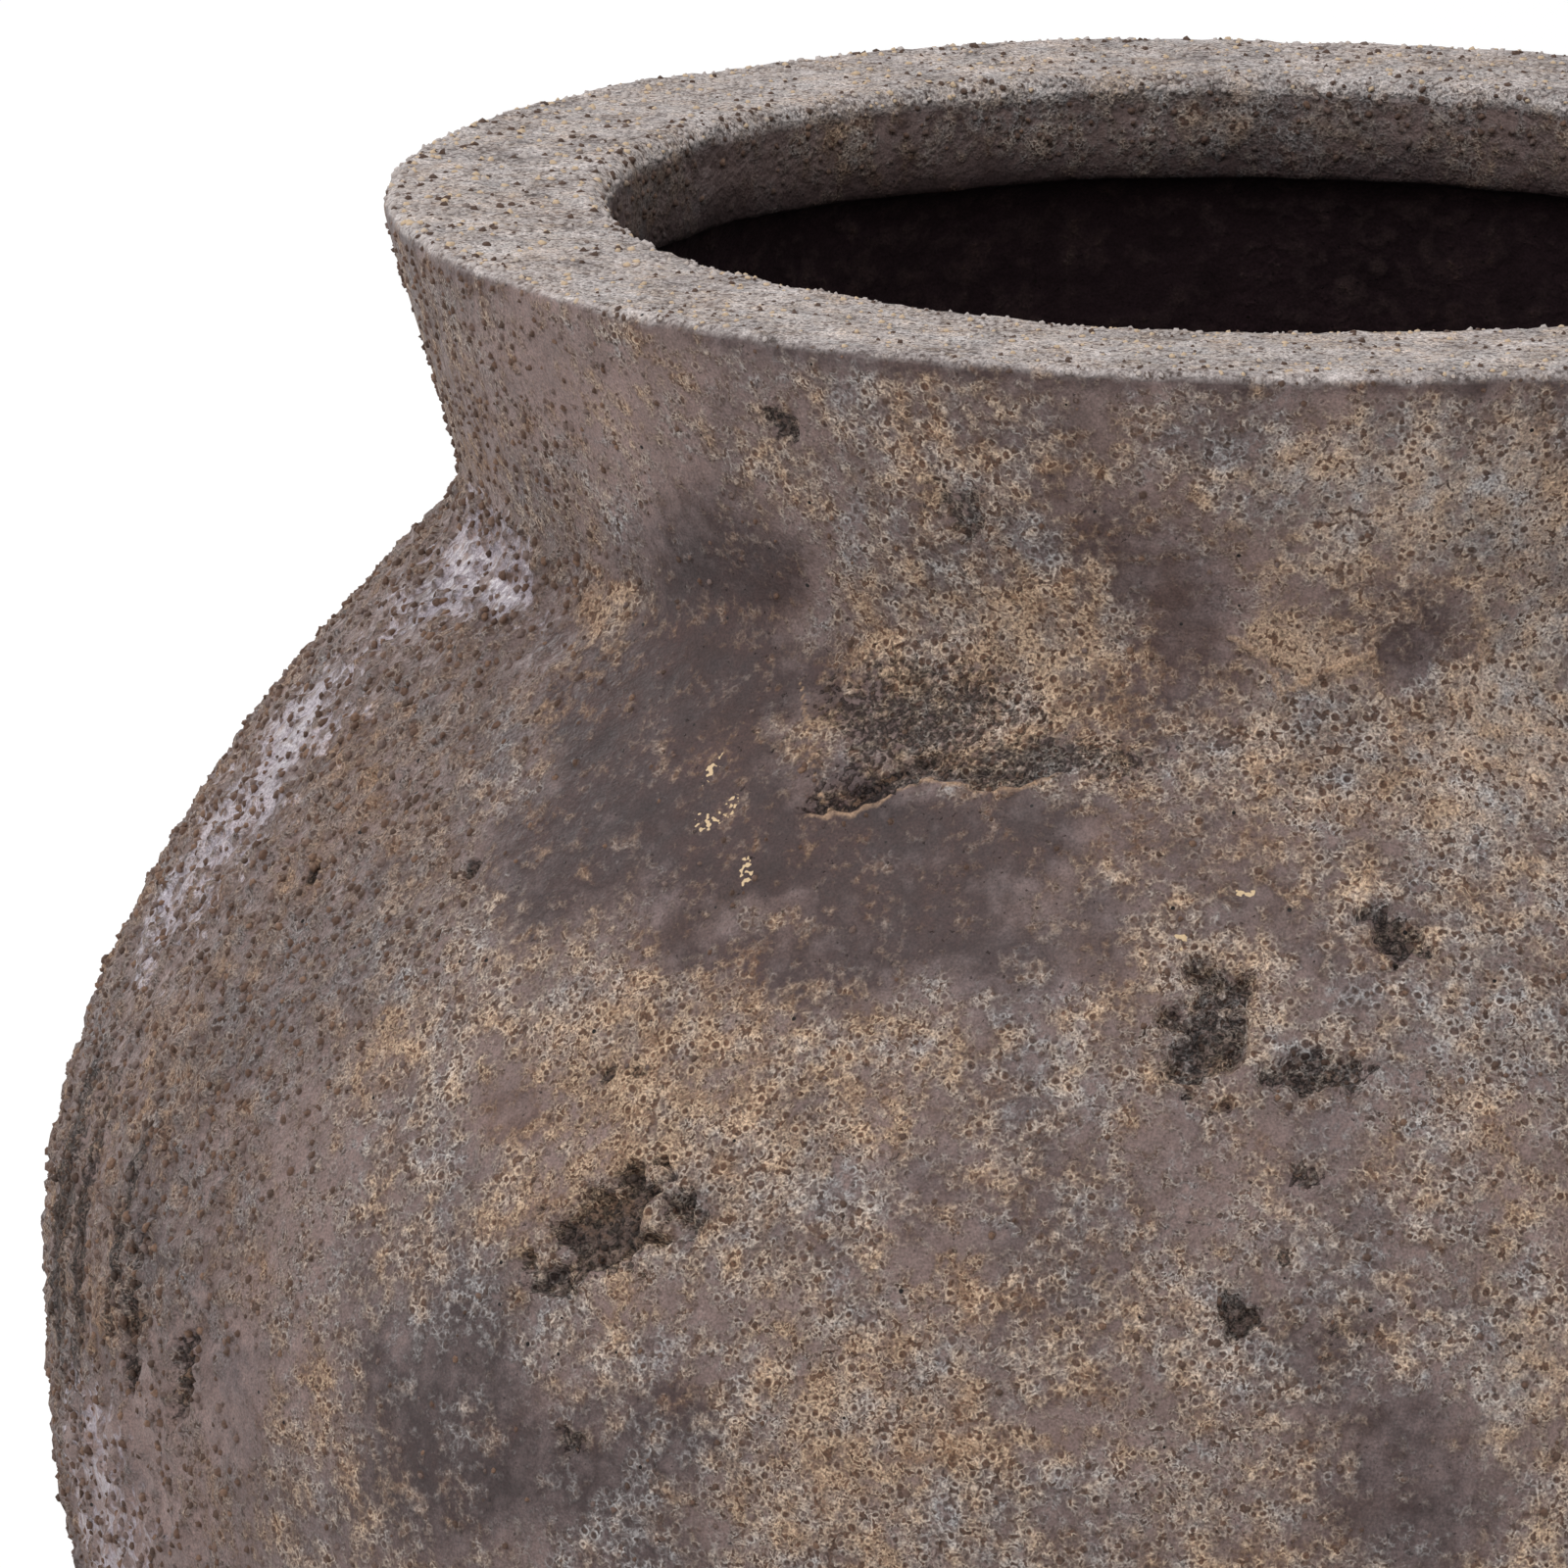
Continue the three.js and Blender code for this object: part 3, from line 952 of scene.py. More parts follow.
@dataclass(frozen=True)
class FiredSlip:
    """Stoneware fired without glaze, under a thin slip that is worn and dusted.

    Where the slip broke up in the kiln it leaves a net of pale lines and films round brown specks.
    Between those the slip is close and a little satin, so that it pales where it is seen edge on; at the
    left limb that sheen is also painted on as a lilac-white colour. Painted shade darkens the inside, the
    pits, the cracks, the scar's recess and the pinholes.
    """

    cells: GritCells
    light: str = "8a746f"
    slip_cool: str = "6c5c5b"
    slip: str = "6c5651"
    dark_cool: str = "3e3131"
    dark: str = "433131"
    earth_cool: str = "695f5d"
    earth_warm: str = "7d6658"
    film_cool: str = "a09997"
    film_warm: str = "b29885"
    speck_cool: str = "4a3c37"
    speck_warm: str = "614637"
    line_cool: str = "bcb8b7"
    line_warm: str = "d0b499"
    # A painted sheen: lilac-white colour for grazing light on the left limb.
    sheen: str = "b6acb9"
    grain: str = "523c30"
    fleck: str = "dcc09a"
    raw: str = "b4947a"
    rust: str = "96704e"
    # Soot, and painted shade in pits, cracks, the scar's recess and pinholes.
    soot_and_shade: str = "191312"
    crumb: str = "62524d"
    sand: str = "d2c8c5"
    # The inside: dark clay, painted darker as the shade of the hollow.
    hollow: str = "261a1d"
    ior: float = 1.5
    cloud_size: float = 24.0
    drift_size: float = 9.0
    mottle_size: float = 4.0
    break_size: float = 1.7
    speck_size: float = 0.42
    crack_gap: float = 1.6
    worm_fine: float = 0.85
    worm_broad: float = 1.25
    ring_gap: float = 1.9
    bend_size: float = 2.0
    net_bend: float = 1.2
    ring_bend: float = 1.0
    crumb_size: float = 1.1
    pinhole_gap: float = 4.5
    chip_size: float = 1.0
    sand_size: float = 1.1
    streak_radius: float = 130.0
    streak_length: float = 6.0
    streaks_per_mm: float = 0.6

    def material(self) -> bpy.types.Material:
        """Builds the finish.

        Returns:
            The material.
        """
        material = bpy.data.materials.new("fired_slip")
        tree = emptied(material)
        where = add(tree, "TexCoord", out="Object")
        given = {n: add(tree, "Attribute", out="Fac", attribute_name=n) for n in Skin.FIELDS}
        given["where"] = where
        for name, size in (
            ("clouds", self.cloud_size),
            ("mottles", self.mottle_size),
            ("breaks", self.break_size),
            ("specks", self.speck_size),
        ):
            lumps = {"Vector": where, "Scale": repeats(size), "Detail": 3.0}
            given[name] = add(tree, "TexNoise", lumps)
        broad = {"Vector": where, "Scale": repeats(self.drift_size), "Detail": 5.0, "Roughness": 0.6}
        drifts = add(tree, "TexNoise", broad, out="Color")
        parts = add(tree, "SeparateColor", [drifts]).node.outputs
        given.update(zip(("drifts", "tints", "films"), parts))
        self.net(tree, given)
        self.coarse_grit(tree, given)
        self.ashes(tree, given)
        colour = self.colour(tree, given)
        bump = add(tree, "Bump", {"Distance": MM, "Height": self.relief(tree, given)})
        bare = add(tree, "MapRange", [given["broken"], 0.0, 0.6, 0.5, 0.85])
        dull = add(tree, "MAXIMUM", [given["ash"], given["inside"]])
        worn = add(tree, "MAXIMUM", [bare, dull])
        worn = add(tree, "MULTIPLY_ADD", [given["shine"], -0.35, worn])
        satin = add(tree, "MapRange", [given["inside"], 0.4, 1.0, 0.28, 0.12])
        satin = add(tree, "MULTIPLY_ADD", [given["shine"], 0.35, satin])
        looks = {"Base Color": colour, "Roughness": worn, "Specular IOR Level": satin}
        shader = add(tree, "BsdfPrincipled", {**looks, "IOR": self.ior, "Normal": bump})
        add(tree, "OutputMaterial", [shader])
        return material

    def total(self, tree: Tree, start: Socket, parts: Mapping[Socket, float]) -> Socket:
        """Adds weighted noises to a field, each counted from its middle of 0.5.

        Args:
            tree: the material's tree.
            start: the field.
            parts: each noise and its weight.

        Returns:
            The sum.
        """
        middle = sum(parts.values()) / 2
        result = add(tree, "SUBTRACT", [start, middle])
        for part, weight in parts.items():
            result = add(tree, "MULTIPLY_ADD", [part, weight, result])
        return result

    def net(self, tree: Tree, given: Given) -> None:
        """Finds where the slip broke up, its pale net and the specks inside, 1 to 2 mm apart.

        Args:
            tree: the material's tree.
            given: what is known of the place; the net's masks are added to it.
        """
        where = given["where"]
        push = add(tree, "TexNoise", {"Vector": where, "Scale": repeats(self.bend_size)}, out="Color")
        centred = add(tree, "VectorMath", [push, (0.5, 0.5, 0.5)], operation="SUBTRACT")
        reach = (self.net_bend * MM,) * 3
        bent = add(tree, "VectorMath", [centred, reach, where], operation="MULTIPLY_ADD")
        cells = {"Vector": bent, "Scale": repeats(self.crack_gap)}
        edge = add(tree, "TexVoronoi", cells, feature="DISTANCE_TO_EDGE")
        crack = add(tree, "MapRange", [edge, 0.16, 0.02, 0.0, 0.4])
        fine, broad = (
            add(tree, "TexNoise", {"Vector": bent, "Scale": repeats(size), "Detail": 1.0})
            for size in (self.worm_fine, self.worm_broad)
        )
        pick = add(tree, "MapRange", [given["clouds"], 0.44, 0.56, 0.0, 1.0])
        worms = add(tree, "Mix", [pick, None, fine, broad])
        level = add(tree, "SUBTRACT", [worms, 0.5])
        slope = add(tree, "ABSOLUTE", [level])
        worm = add(tree, "MapRange", [slope, 0.085, 0.015, 0.0, 1.0])
        core, halo, zone = self.rings(tree, where, centred)
        line = add(tree, "MAXIMUM", [crack, worm])
        line = add(tree, "Mix", [zone, None, line, halo])
        noises = {given["drifts"]: 1.2, given["mottles"]: 1.1, given["breaks"]: 1.4}
        over = self.total(tree, given["crust"], noises)
        given["broken"] = add(tree, "MapRange", [over, 0.2, 0.75, 0.06, 1.0])
        seen = add(tree, "ADD", [given["films"], given["breaks"]])
        worn = add(tree, "MapRange", [seen, 0.78, 1.1, 0.2, 1.0])
        thin = add(tree, "MapRange", [given["coarse"], 0.3, 1.0, 1.0, 0.35])
        weak = add(tree, "MapRange", [given["crust"], 0.1, 0.5, 0.45, 1.0])
        clean = add(tree, "MapRange", [given["soot_and_shade"], 0.45, 0.75, 1.0, 0.2])
        for share in (worn, thin, weak, clean, given["broken"]):
            line = add(tree, "MULTIPLY", [line, share])
        given["line"] = line
        inner = add(tree, "MapRange", [level, 0.05, 0.12, 0.0, 1.0])
        inner = add(tree, "Mix", [zone, None, inner, core])
        inner = add(tree, "MULTIPLY", [inner, clean])
        given["blob"] = add(tree, "MULTIPLY", [inner, given["broken"]])
        hue = self.total(tree, given["warmth"], {given["mottles"]: 2.0, given["tints"]: 2.0})
        given["warm"] = add(tree, "ADD", [hue, 0.0], use_clamp=True)
        rust = add(tree, "MapRange", [hue, 0.9, 1.5, 0.0, 0.5])
        given["rust"] = add(tree, "MULTIPLY", [rust, given["broken"]])
        thick = self.total(tree, given["film"], {given["films"]: 1.6, given["mottles"]: 1.2})
        coat = add(tree, "MapRange", [thick, 0.15, 0.7, 0.0, 0.6])
        coat = add(tree, "MULTIPLY", [coat, thin])
        given["coat"] = add(tree, "MULTIPLY", [coat, given["broken"]])
        # The sheen mask: it paints the lilac-white sheen and makes the slip glossier at the left limb.
        bare = {given["drifts"]: 1.6, given["mottles"]: 2.2, given["breaks"]: 2.8}
        shine = self.total(tree, given["sheen"], bare)
        glossy = add(tree, "MapRange", [shine, 0.3, 0.9, 0.0, 0.8])
        near = add(tree, "MapRange", [given["sheen"], 0.02, 0.15, 0.0, 1.0])
        given["shine"] = add(tree, "MULTIPLY", [glossy, near])

    def rings(self, tree: Tree, where: Socket, push: Socket) -> tuple[Socket, Socket, Socket]:
        """Finds round specks about 2 mm apart, each inside a pale ring.

        Args:
            tree: the material's tree.
            where: the place.
            push: a noise that bends the rings, counted from its middle.

        Returns:
            The masks of the specks, of their rings and of the room that both take up.
        """
        reach = (self.ring_bend * MM,) * 3
        bent = add(tree, "VectorMath", [push, reach, where], operation="MULTIPLY_ADD")
        cell = add(tree, "TexVoronoi", {"Vector": bent, "Scale": repeats(self.ring_gap)}).node
        chance = add(tree, "SeparateColor", [cell.outputs["Color"]]).node
        size = add(tree, "MapRange", [chance.outputs["Red"], 0.0, 1.0, 0.12, 0.34])
        beyond = add(tree, "SUBTRACT", [cell.outputs["Distance"], size])
        core = add(tree, "MapRange", [beyond, 0.05, -0.06, 0.0, 1.0])
        middle = add(tree, "SUBTRACT", [beyond, 0.14])
        away = add(tree, "ABSOLUTE", [middle])
        halo = add(tree, "MapRange", [away, 0.15, 0.04, 0.0, 0.92])
        near = add(tree, "MapRange", [beyond, 0.32, 0.22, 0.0, 1.0])
        held = add(tree, "MapRange", [chance.outputs["Green"], 0.4, 0.42, 0.0, 1.0])
        return core, halo, add(tree, "MULTIPLY", [near, held])

    def coarse_grit(self, tree: Tree, given: Given) -> None:
        """Finds the beds of the proud grains and the slopes of slip that lead up to them.

        Args:
            tree: the material's tree.
            given: what is known of the place; the grit's masks are added to it.
        """
        cells = self.cells
        cell = add(tree, "TexVoronoi", {"Vector": given["where"], "Scale": cells.scale()}).node
        chance = add(tree, "SeparateColor", [cell.outputs["Color"]]).node
        margin = add(tree, "SUBTRACT", [given["grit"], chance.outputs["Red"]])
        held = add(tree, "MapRange", [margin, 0.0, 0.02, 0.0, 1.0])
        full = add(tree, "MULTIPLY_ADD", [chance.outputs["Green"], cells.more, cells.least])
        share = add(tree, "MapRange", [given["coarse"], 0.0, 1.0, cells.fine, 1.0])
        radius = add(tree, "MULTIPLY", [full, share])
        beyond = add(tree, "SUBTRACT", [cell.outputs["Distance"], radius])
        ragged = add(tree, "MULTIPLY_ADD", [given["breaks"], 0.8, beyond])
        core = add(tree, "MapRange", [ragged, 0.5, 0.34, 0.0, 0.8])
        skirt = add(tree, "MapRange", [beyond, 0.28, -0.1, 0.0, 1.0])
        given["bed"] = add(tree, "MULTIPLY", [core, held])
        given["skirt"] = add(tree, "MULTIPLY", [skirt, held])

    def ashes(self, tree: Tree, given: Given) -> None:
        """Finds crumbling soot and painted shade with ragged edges, and pinholes about 5 mm apart, which
        are painted dark as shade in tiny holes.

        Args:
            tree: the material's tree.
            given: what is known of the place; the masks of soot, painted shade and pinholes are added to
                it.
        """
        where = given["where"]
        lumps = {"Vector": where, "Scale": repeats(self.crumb_size), "Detail": 4.0}
        given["crumbs"] = add(tree, "TexNoise", lumps)
        ragged = add(tree, "MULTIPLY_ADD", [given["crumbs"], 1.6, given["soot_and_shade"]])
        given["ash"] = add(tree, "MapRange", [ragged, 1.1, 1.4, 0.0, 0.95])
        holes = add(tree, "TexVoronoi", {"Vector": where, "Scale": repeats(self.pinhole_gap)}).node
        pick = add(tree, "SeparateColor", [holes.outputs["Color"]])
        size = add(tree, "MapRange", [pick, 0.0, 0.5, 0.1, 0.0])
        inner = add(tree, "SUBTRACT", [size, holes.outputs["Distance"]])
        given["pinhole"] = add(tree, "MapRange", [inner, 0.0, 0.02, 0.0, 1.0])

    def colour(self, tree: Tree, given: Given) -> Socket:
        """Lays the colours over one another, from the slip up to the dark of the pinholes, which is painted
        shade. Painted shade also darkens the pits, cracks, scar and inside, and a painted sheen pales the
        left limb.

        Args:
            tree: the material's tree.
            given: what is known of the place.

        Returns:
            The colour.
        """
        noises = {given["clouds"]: 1.4, given["mottles"]: 1.4, given["drifts"]: 1.2}
        pools = self.total(tree, given["shade"], noises)
        to_dark = add(tree, "MapRange", [pools, 0.0, 0.45, 0.0, 1.0])
        to_light = add(tree, "MapRange", [pools, 0.05, -0.4, 0.0, 1.0])
        bare = add(tree, "MULTIPLY", [given["broken"], 0.9])
        less = add(tree, "MapRange", [given["rim"], 0.0, 1.0, 0.9, 0.7])
        brown = add(tree, "MULTIPLY", [given["blob"], less])
        pale = add(tree, "MULTIPLY", [given["line"], less])
        flakes = {"Vector": given["where"], "Scale": repeats(self.chip_size), "Detail": 1.0}
        chips = add(tree, "TexNoise", flakes)
        peel = add(tree, "MULTIPLY", [chips, given["pale"]])
        chip = add(tree, "MapRange", [peel, 0.5, 0.54, 0.0, 1.0])
        torn = add(tree, "MULTIPLY", [given["breaks"], given["raw"]])
        tear = add(tree, "MapRange", [torn, 0.25, 0.55, 0.0, 0.9])
        burnt = add(tree, "MULTIPLY_ADD", [given["soot_and_shade"], 0.25, given["crumbs"]])
        lump = add(tree, "MapRange", [burnt, 0.64, 0.74, 0.0, 1.0])
        glow = add(tree, "MapRange", [given["tints"], 0.52, 0.62, 0.0, 0.35])
        # Painted sheen: a lilac-white colour where the left limb catches grazing light.
        bloom = add(tree, "MULTIPLY", [given["shine"], 0.7])
        # Painted shade of the inside, over its dark clay, a little uneven.
        veil = add(tree, "MapRange", [given["mottles"], 0.5, 0.7, 1.0, 0.86])
        hidden = add(tree, "MULTIPLY", [given["inside"], veil])
        slip, dark, earth, film, speck, line = (
            layered(tree, cool, [(given["warm"], warm)])
            for cool, warm in (
                (self.slip_cool, self.slip),
                (self.dark_cool, self.dark),
                (self.earth_cool, self.earth_warm),
                (self.film_cool, self.film_warm),
                (self.speck_cool, self.speck_warm),
                (self.line_cool, self.line_warm),
            )
        )
        crumb = layered(tree, self.crumb, [(glow, self.rust)])
        layers = [
            (to_light, self.light),
            (to_dark, dark),
            (bare, earth),
            (given["rust"], self.rust),
            (given["coat"], film),
            # Soot and painted shade in pits, cracks and the scar's recess, with paler crumbs.
            (given["ash"], layered(tree, self.soot_and_shade, [(lump, crumb)])),
            (self.sand_coat(tree, given), self.sand),
            (given["gap"], self.speck_cool),
            (pale, line),
            (brown, speck),
            # Painted sheen over the slip.
            (bloom, self.sheen),
            (given["bed"], self.grain),
            (tear, self.raw),
            # The inside's painted shade.
            (hidden, self.hollow),
        ]
        colour = layered(tree, slip, layers)
        low = add(tree, "MapRange", [given["broken"], 0.0, 1.0, 0.7, 0.45])
        high = add(tree, "MapRange", [given["broken"], 0.0, 1.0, 1.3, 1.55])
        grainy = add(tree, "MapRange", [given["specks"], 0.3, 0.7, low, high])
        drifting = add(tree, "MapRange", [given["drifts"], 0.3, 0.7, 0.75, 1.25])
        lit = add(tree, "MULTIPLY", [drifting, grainy])
        colour = add(tree, "HueSaturation", {"Value": lit, "Color": colour})
        # The pinholes are painted shade: dark dots for tiny holes.
        return layered(tree, colour, [(chip, self.fleck), (given["pinhole"], self.soot_and_shade)])

    def sand_coat(self, tree: Tree, given: Given) -> Socket:
        """Sand on the rim, in grains of about 1 mm and faint streaks that the turning left.

        Args:
            tree: the material's tree.
            given: what is known of the place; the dark gaps between grains are added to it.

        Returns:
            How much of the sand shows.
        """
        axes = add(tree, "SeparateXYZ", [given["where"]]).node
        angle = add(tree, "ARCTAN2", [axes.outputs["Y"], axes.outputs["X"]])
        along = add(tree, "MULTIPLY", [angle, self.streak_radius / self.streak_length])
        flat = add(tree, "VectorMath", [given["where"], (1.0, 1.0, 0.0)], operation="MULTIPLY")
        out = add(tree, "VectorMath", [flat], out="Value", operation="LENGTH")
        across = add(tree, "MULTIPLY", [out, self.streaks_per_mm / MM])
        grid = add(tree, "CombineXYZ", [along, across, 0.0])
        streak = add(tree, "TexNoise", {"Vector": grid, "Scale": 1.0, "Detail": 3.0})
        grains = {"Vector": given["where"], "Scale": repeats(self.sand_size), "Detail": 4.0}
        given["sand"] = add(tree, "TexNoise", {**grains, "Roughness": 0.65})
        fine = add(tree, "MULTIPLY_ADD", [streak, 0.4, given["sand"]])
        fine = add(tree, "MULTIPLY_ADD", [given["drifts"], 0.4, fine])
        dark = add(tree, "MapRange", [fine, 0.84, 0.7, 0.0, 0.85])
        given["gap"] = add(tree, "MULTIPLY", [dark, given["rim"]])
        shown = add(tree, "MapRange", [fine, 0.75, 1.05, 0.25, 0.95])
        return add(tree, "MULTIPLY", [shown, given["rim"]])

    def relief(self, tree: Tree, given: Given) -> Socket:
        """The skin's fine relief in millimetres, below what the mesh carries.

        Args:
            tree: the material's tree.
            given: what is known of the place.

        Returns:
            The height.
        """
        grainy = add(tree, "MULTIPLY_ADD", [given["broken"], 0.3, 0.1])
        height = add(tree, "MULTIPLY", [given["specks"], grainy])
        sandy = add(tree, "MULTIPLY", [given["rim"], given["sand"]])
        burnt = add(tree, "MULTIPLY", [given["ash"], given["crumbs"]])
        crusty = add(tree, "MULTIPLY", [given["coarse"], given["breaks"]])
        lumpy = add(tree, "MULTIPLY", [given["coarse"], given["mottles"]])
        for part, depth in (
            (given["mottles"], 0.5),
            (given["line"], 0.1),
            (given["skirt"], 0.3),
            (lumpy, 0.6),
            (crusty, 0.7),
            (sandy, 0.8),
            (burnt, 2.0),
        ):
            height = add(tree, "MULTIPLY_ADD", [part, depth, height])
        return height


@dataclass(frozen=True)
class TemperGrain:
    """Crushed fired clay and sand, as the temper of the pot: dull, rough and brown."""

    brown: str = "6c5041"
    dark: str = "4d3a30"
    ochre: str = "836450"
    slip: str = "7a6863"
    # Soot, and painted shade on grains in pits, cracks and the scar's recess.
    soot_and_shade: str = "241b17"
    sand: str = "c0b6b2"
    cream: str = "cfb595"
    # Painted shade on grains inside the mouth, over dark clay.
    hollow: str = "2b2020"
    ior: float = 1.5
    flaw_size: float = 0.5
    flaw_depth: float = 0.2

    def material(self) -> bpy.types.Material:
        """Builds the finish, which varies from grain to grain, and paints shade on grains in the pits and
        inside the mouth.

        Returns:
            The material.
        """
        material = bpy.data.materials.new("temper_grain")
        tree = emptied(material)
        where = add(tree, "TexCoord", out="Object")
        names = ("grain", "soot_and_shade", "rim", "inside")
        tone, soot_and_shade, rim, inside = (add(tree, "Attribute", out="Fac", attribute_name=n) for n in names)
        flaws = add(tree, "TexNoise", {"Vector": where, "Scale": repeats(self.flaw_size), "Detail": 2.0})
        shade = add(tree, "MapRange", [tone, 0.0, 0.5, 0.0, 1.0])
        cold = add(tree, "MapRange", [tone, 0.5, 0.65, 0.0, 0.9])
        warm = add(tree, "MapRange", [tone, 0.84, 0.9, 0.0, 0.9])
        flaw = add(tree, "MapRange", [flaws, 0.35, 0.7, 0.0, 0.5])
        pale = add(tree, "MapRange", [tone, 0.2, 0.28, 0.0, 0.95])
        dusty = add(tree, "MULTIPLY", [rim, pale])
        blond = add(tree, "MapRange", [tone, 0.78, 0.84, 0.0, 0.9])
        creamy = add(tree, "MULTIPLY", [rim, blond])
        layers = [
            (shade, self.brown),
            (cold, self.slip),
            (warm, self.ochre),
            (flaw, self.dark),
            (dusty, self.sand),
            (creamy, self.cream),
            # Soot and painted shade, then the painted shade of the inside.
            (soot_and_shade, self.soot_and_shade),
            (inside, self.hollow),
        ]
        height = add(tree, "MULTIPLY", [flaws, self.flaw_depth])
        bump = add(tree, "Bump", {"Distance": MM, "Height": height})
        dull = add(tree, "MapRange", [flaws, 0.3, 0.7, 0.7, 0.95])
        looks = {"Base Color": layered(tree, self.dark, layers), "Roughness": dull}
        shader = add(tree, "BsdfPrincipled", {**looks, "IOR": self.ior, "Normal": bump})
        add(tree, "OutputMaterial", [shader])
        return material


@dataclass(frozen=True)
class MouldedRubber:
    """Black natural rubber as it leaves a steel mould: dull, with a pale bloom, scuffs and clay dust."""

    name: str
    base: str
    bloom: str
    scuff_size: float
    dust: str = "7d6a5c"
    ior: float = 1.52
    bloom_size: float = 9.0
    drift_size: float = 6.0
    pore_size: float = 0.5
    pore_depth: float = 0.06

    def material(self) -> bpy.types.Material:
        """Builds the finish.

        Returns:
            The material.
        """
        material = bpy.data.materials.new(self.name)
        tree = emptied(material)
        where = add(tree, "TexCoord", out="Object")
        blooms, scuffs, drifts, pores = (
            add(tree, "TexNoise", {"Vector": where, "Scale": repeats(size), "Detail": detail})
            for size, detail in (
                (self.bloom_size, 5.0),
                (self.scuff_size, 3.0),
                (self.drift_size, 6.0),
                (self.pore_size, 2.0),
            )
        )
        bloom = add(tree, "MapRange", [blooms, 0.42, 0.72, 0.0, 0.6])
        dull = add(tree, "MapRange", [scuffs, 0.5, 0.75, 0.0, 0.4])
        both = add(tree, "MAXIMUM", [bloom, dull])
        normal = add(tree, "NewGeometry", out="Normal")
        up = add(tree, "SeparateXYZ", [normal], out="Z")
        level = add(tree, "MapRange", [up, -0.2, 0.9, 0.25, 1.0])
        drift = add(tree, "MapRange", [drifts, 0.42, 0.66, 0.0, 0.75])
        dusty = add(tree, "MULTIPLY", [level, drift])
        colour = layered(tree, self.base, [(both, self.bloom), (dusty, self.dust)])
        worn = add(tree, "MapRange", [both, 0.0, 0.6, 0.5, 0.8])
        height = add(tree, "MULTIPLY", [pores, self.pore_depth])
        bump = add(tree, "Bump", {"Distance": MM, "Height": height})
        looks = {"Base Color": colour, "Roughness": worn, "IOR": self.ior, "Normal": bump}
        shader = add(tree, "BsdfPrincipled", looks)
        add(tree, "OutputMaterial", [shader])
        return material


@dataclass
class PotShell:
    """The fired pot's wall: turned, pitted, scarred and patched.

    The limb is the left side that shows against the light. The crags begin, are full, wane and end at
    the four turns. The rooms are how far finer faces reach round creases, scars and flecks.
    """

    lathe: Lathe
    finish: FiredSlip
    outline: JarOutline = field(default_factory=JarOutline)
    segments: int = 280
    lumps: tuple[float, float, float, float] = (46.0, 0.9, 13.0, 0.3)
    seed: int = 11
    hidden_pits: int = 12
    hidden_patches: int = 26
    limb_turns: tuple[float, float] = (-102.0, -56.0)
    limb_heights: tuple[float, float] = (165.0, 345.0)
    rim_turn: float = 60.0
    crease_room: float = 4.0
    scar_room: float = 6.0
    fleck_room: float = 1.4
    crag_turns: tuple[float, float, float, float] = (-150.0, -105.0, -62.0, -42.0)
    knob_size: float = 2.6
    knob_height: float = 1.15

    def build(self) -> bpy.types.Object:
        """Makes the pot and puts it in the place of its solid.

        Returns:
            The pot.
        """
        points, material = self.outline.points(), self.finish.material()
        mesh = self.lathe.turn("pot_shell", points, self.segments, True, material, self.lumps)
        self.refine(mesh)
        skin = Skin(mesh, self.outline)
        self.mark(skin, FRONT_PITS + self.unseen_pits())
        self.lay_crust(skin)
        skin.store()
        piece = place("pot_shell", mesh)
        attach(piece, "pot")
        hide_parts("pot_body")
        LOG.info("pot_shell: %d faces", len(mesh.polygons))
        return piece

    def unseen_pits(self) -> tuple[Pit, ...]:
        """Breaks pits of the same kinds out of the sides that face away.

        Returns:
            The pits, from a fixed seed.
        """
        chance = np.random.default_rng(self.seed)
        pits = []
        for _ in range(self.hidden_pits):
            turn, height = chance.uniform(25, 260), chance.uniform(60, 318)
            across, up = chance.uniform(5, 17), chance.uniform(5, 15)
            pits.append(Pit(turn, height, across, up, chance.uniform(-50, 50), chance.uniform(1.0, 2.8)))
        return tuple(pits)

    def unseen_patches(self) -> tuple[Patch, ...]:
        """Lays patches of smooth slip and warm crust round the sides that face away.

        Returns:
            The patches, from a fixed seed.
        """
        chance = np.random.default_rng(self.seed + 1)
        patches = []
        for i in range(self.hidden_patches):
            turn, height = chance.uniform(20, 265), chance.uniform(30, 370)
            across, up = chance.uniform(18, 60), chance.uniform(9, 26)
            sign = -1 if i % 2 else 1
            lean = chance.uniform(-20, 20)
            crust, warmth = sign * chance.uniform(0.2, 0.45), sign * chance.uniform(0.2, 0.5)
            shade = -sign * chance.uniform(0.1, 0.4)
            patches.append(Patch(turn, height, across, up, lean, crust, warmth, shade, 0.1 * sign))
        return tuple(patches)

    def limb(self, skin: Skin) -> np.ndarray:
        """Picks the left side of the belly and shoulder, whose crags show against the light.

        Args:
            skin: the pot's skin.

        Returns:
            Whether each vertex is picked.
        """
        left, right = self.limb_turns
        low, high = (self.outline.run_at(height) for height in self.limb_heights)
        return (skin.turn > left) & (skin.turn < right) & (skin.run > low) & (skin.run < high)

    def rim_edges(self, skin: Skin) -> np.ndarray:
        """Picks the rim's outer and inner edges, but for the far right.

        Args:
            skin: the pot's skin.

        Returns:
            Whether each vertex is picked.
        """
        runs = self.outline.run()
        flat = [run for run, region in zip(runs, self.outline.regions()) if region is Region.RIM]
        outer = (skin.run > self.outline.run_at(self.outline.height - 4)) & (skin.run < flat[0] + 2)
        inner = (skin.run > flat[-1] - 5) & (skin.run < flat[-1] + 3)
        return (outer | inner) & (skin.turn < self.rim_turn)

    def marks(self, skin: Skin, pits: Sequence[Pit]) -> np.ndarray:
        """Picks the places under pits that the limb doesn't cover.

        Args:
            skin: the pot's skin.
            pits: the pits.

        Returns:
            Whether each vertex is picked.
        """
        wanted = np.zeros(len(skin.run), bool)
        for pit in pits:
            wanted |= skin.near(pit)
        return wanted & ~self.limb(skin)

